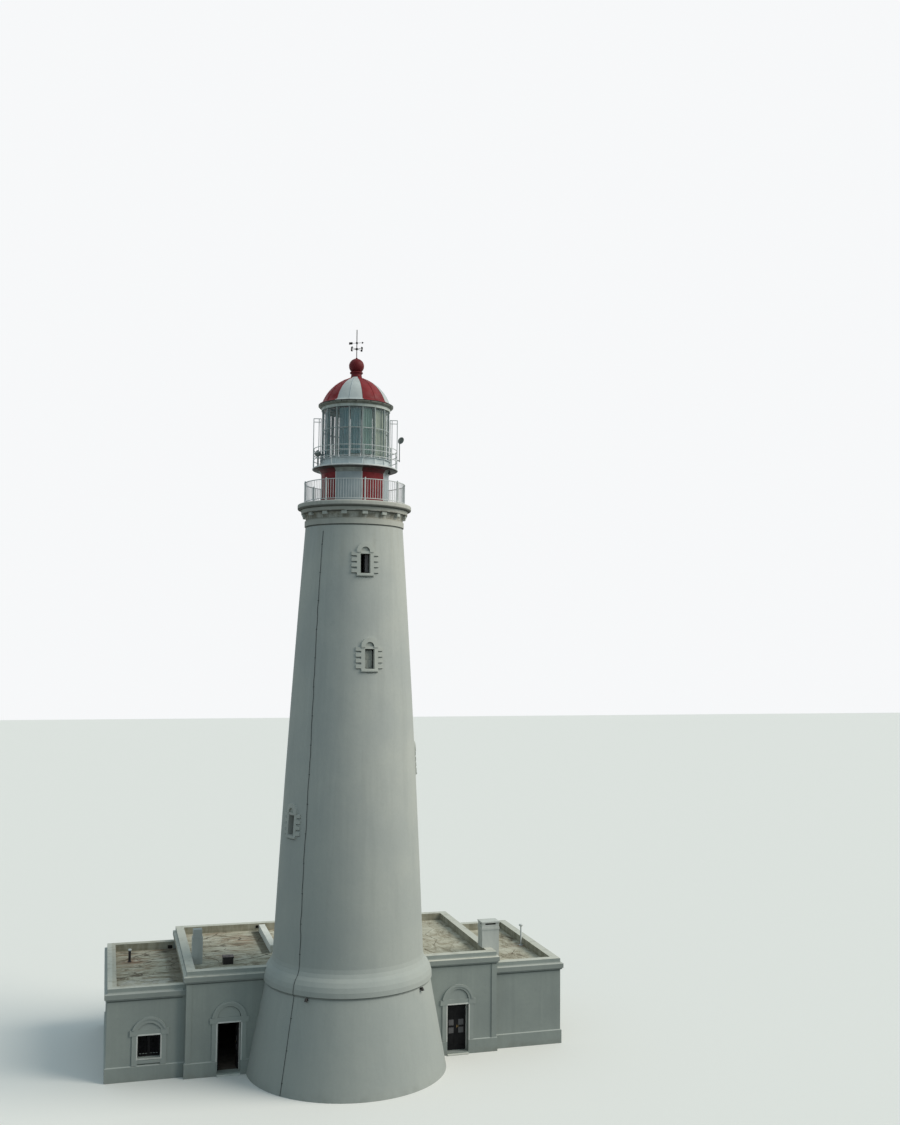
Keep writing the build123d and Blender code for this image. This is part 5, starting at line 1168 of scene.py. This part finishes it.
# Black blocks in the drain holes and flue slots: painted shade of the openings, with soot in the flues.
soot_and_painted_shade = Shape()
soot_and_painted_shade.box((-2.87, 8.545, CENTRAL_ROOF + 0.19), (0.50, 0.03, 0.13))
soot_and_painted_shade.box((-7.42, 8.265, WING_ROOF + 0.10), (0.22, 0.03, 0.15))
soot_and_painted_shade.box((7.42, 8.265, WING_ROOF + 0.07), (0.22, 0.03, 0.12))
for way in (-1, 1):
    soot_and_painted_shade.box((CHIMNEY_X, CHIMNEY_Y + way * 0.205, FLUE_TOP), (0.515, 0.21, 0.078))
    soot_and_painted_shade.box((CHIMNEY_X + way * 0.419, CHIMNEY_Y - 0.12, FLUE_TOP), (0.008, 0.12, 0.075))
soot_and_painted_shade.piece("drain_and_flue_mouths", SOOT_AND_SHADE, bevel=0.003, slot="black_metal")


def crack(shape, points, width, z, seed):
    """Open crack along points on a roof, as a ragged strip a little over it."""
    pick = random.Random(seed)
    line = []
    for (x0, y0), (x1, y1) in zip(points, points[1:]):
        count = max(2, int(math.hypot(x1 - x0, y1 - y0) / 0.12))
        for i in range(count):
            x = x0 + (x1 - x0) * i / count + pick.uniform(-0.02, 0.02)
            line.append((x, y0 + (y1 - y0) * i / count + pick.uniform(-0.03, 0.03)))
    line.append(points[-1])
    rows = []
    for i, (x, y) in enumerate(line):
        nx, ny = line[min(i + 1, len(line) - 1)], line[max(i - 1, 0)]
        d = Vector((nx[0] - ny[0], nx[1] - ny[1])).normalized()
        half = width * pick.uniform(0.45, 1.0) / 2 * (0.25 if i in (0, len(line) - 1) else 1.0)
        rows.append([(x - d.y * half, y + d.x * half, z), (x, y, z + 0.004), (x + d.y * half, y - d.x * half, z)])
    shape.grid(rows)


cracks = Shape()
z = CENTRAL_ROOF + 0.001
for seed, (width, points) in enumerate((
    (0.085, ((-4.87, 2.80), (-4.3, 3.05), (-3.7, 3.25), (-3.02, 3.75))),
    (0.050, ((-6.2, 2.7), (-5.8, 2.85), (-5.4, 2.72))),
    (0.045, ((-5.45, 2.82), (-5.6, 3.3), (-5.95, 3.9), (-6.05, 4.2))),
    (0.060, ((-6.3, 4.3), (-5.7, 4.45), (-5.1, 4.35))),
    (0.090, ((-6.3, 5.6), (-5.6, 5.75), (-4.6, 5.6), (-3.9, 5.75))),
    (0.075, ((-6.4, 6.9), (-5.4, 6.8), (-4.5, 7.0), (-3.6, 6.9))),
    (0.030, ((4.9, 3.2), (5.4, 4.4), (5.1, 5.6), (5.9, 6.8))),
)):
    crack(cracks, points, width, z, seed)
z = WING_ROOF + 0.001
for seed, (width, points) in enumerate((
    (0.060, ((-9.9, 3.9), (-9.2, 4.0), (-8.4, 3.7), (-7.7, 3.9))),
    (0.050, ((-9.3, 2.9), (-8.7, 2.5), (-8.0, 2.7), (-7.4, 2.4))),
    (0.080, ((-9.7, 5.9), (-9.0, 6.05), (-8.3, 6.4), (-7.6, 6.5))),
    (0.055, ((-9.9, 5.1), (-9.2, 5.2), (-8.8, 5.0))),
    (0.070, ((-8.6, 7.2), (-8.2, 7.3), (-7.9, 7.2))),
    (0.035, ((7.6, 2.4), (8.4, 3.0), (8.9, 3.1), (9.4, 3.9))),
    (0.035, ((8.0, 3.6), (8.3, 4.6), (8.6, 5.9), (8.9, 6.8))),
    (0.025, ((8.4, 6.3), (9.0, 6.9), (9.6, 6.8))),
)):
    crack(cracks, points, width, z, seed + 20)
cracks.piece("roof_cracks", CRACK, slot="roof_screed")

# ---------------------------------------------------------------- floor
floor_mat = Mat("studio_floor", rough=0.9, spec=0.1)
floor_mat.colour(floor_mat.mix(seen_directly(floor_mat.tree), (0.20, 0.205, 0.19), (0.80, 0.80, 0.79)))
ground_mesh = bpy.data.meshes.new("studio_ground")
reach = 260.0
corners = [(x * reach, y * reach, -0.004) for x, y in ((-1, -1), (1, -1), (1, 1), (-1, 1))]
ground_mesh.from_pydata(corners, [], [(0, 1, 2, 3)])
ground_mesh.materials.append(floor_mat.mat)
ground = bpy.data.objects.new("studio_ground", ground_mesh)
bpy.context.collection.objects.link(ground)
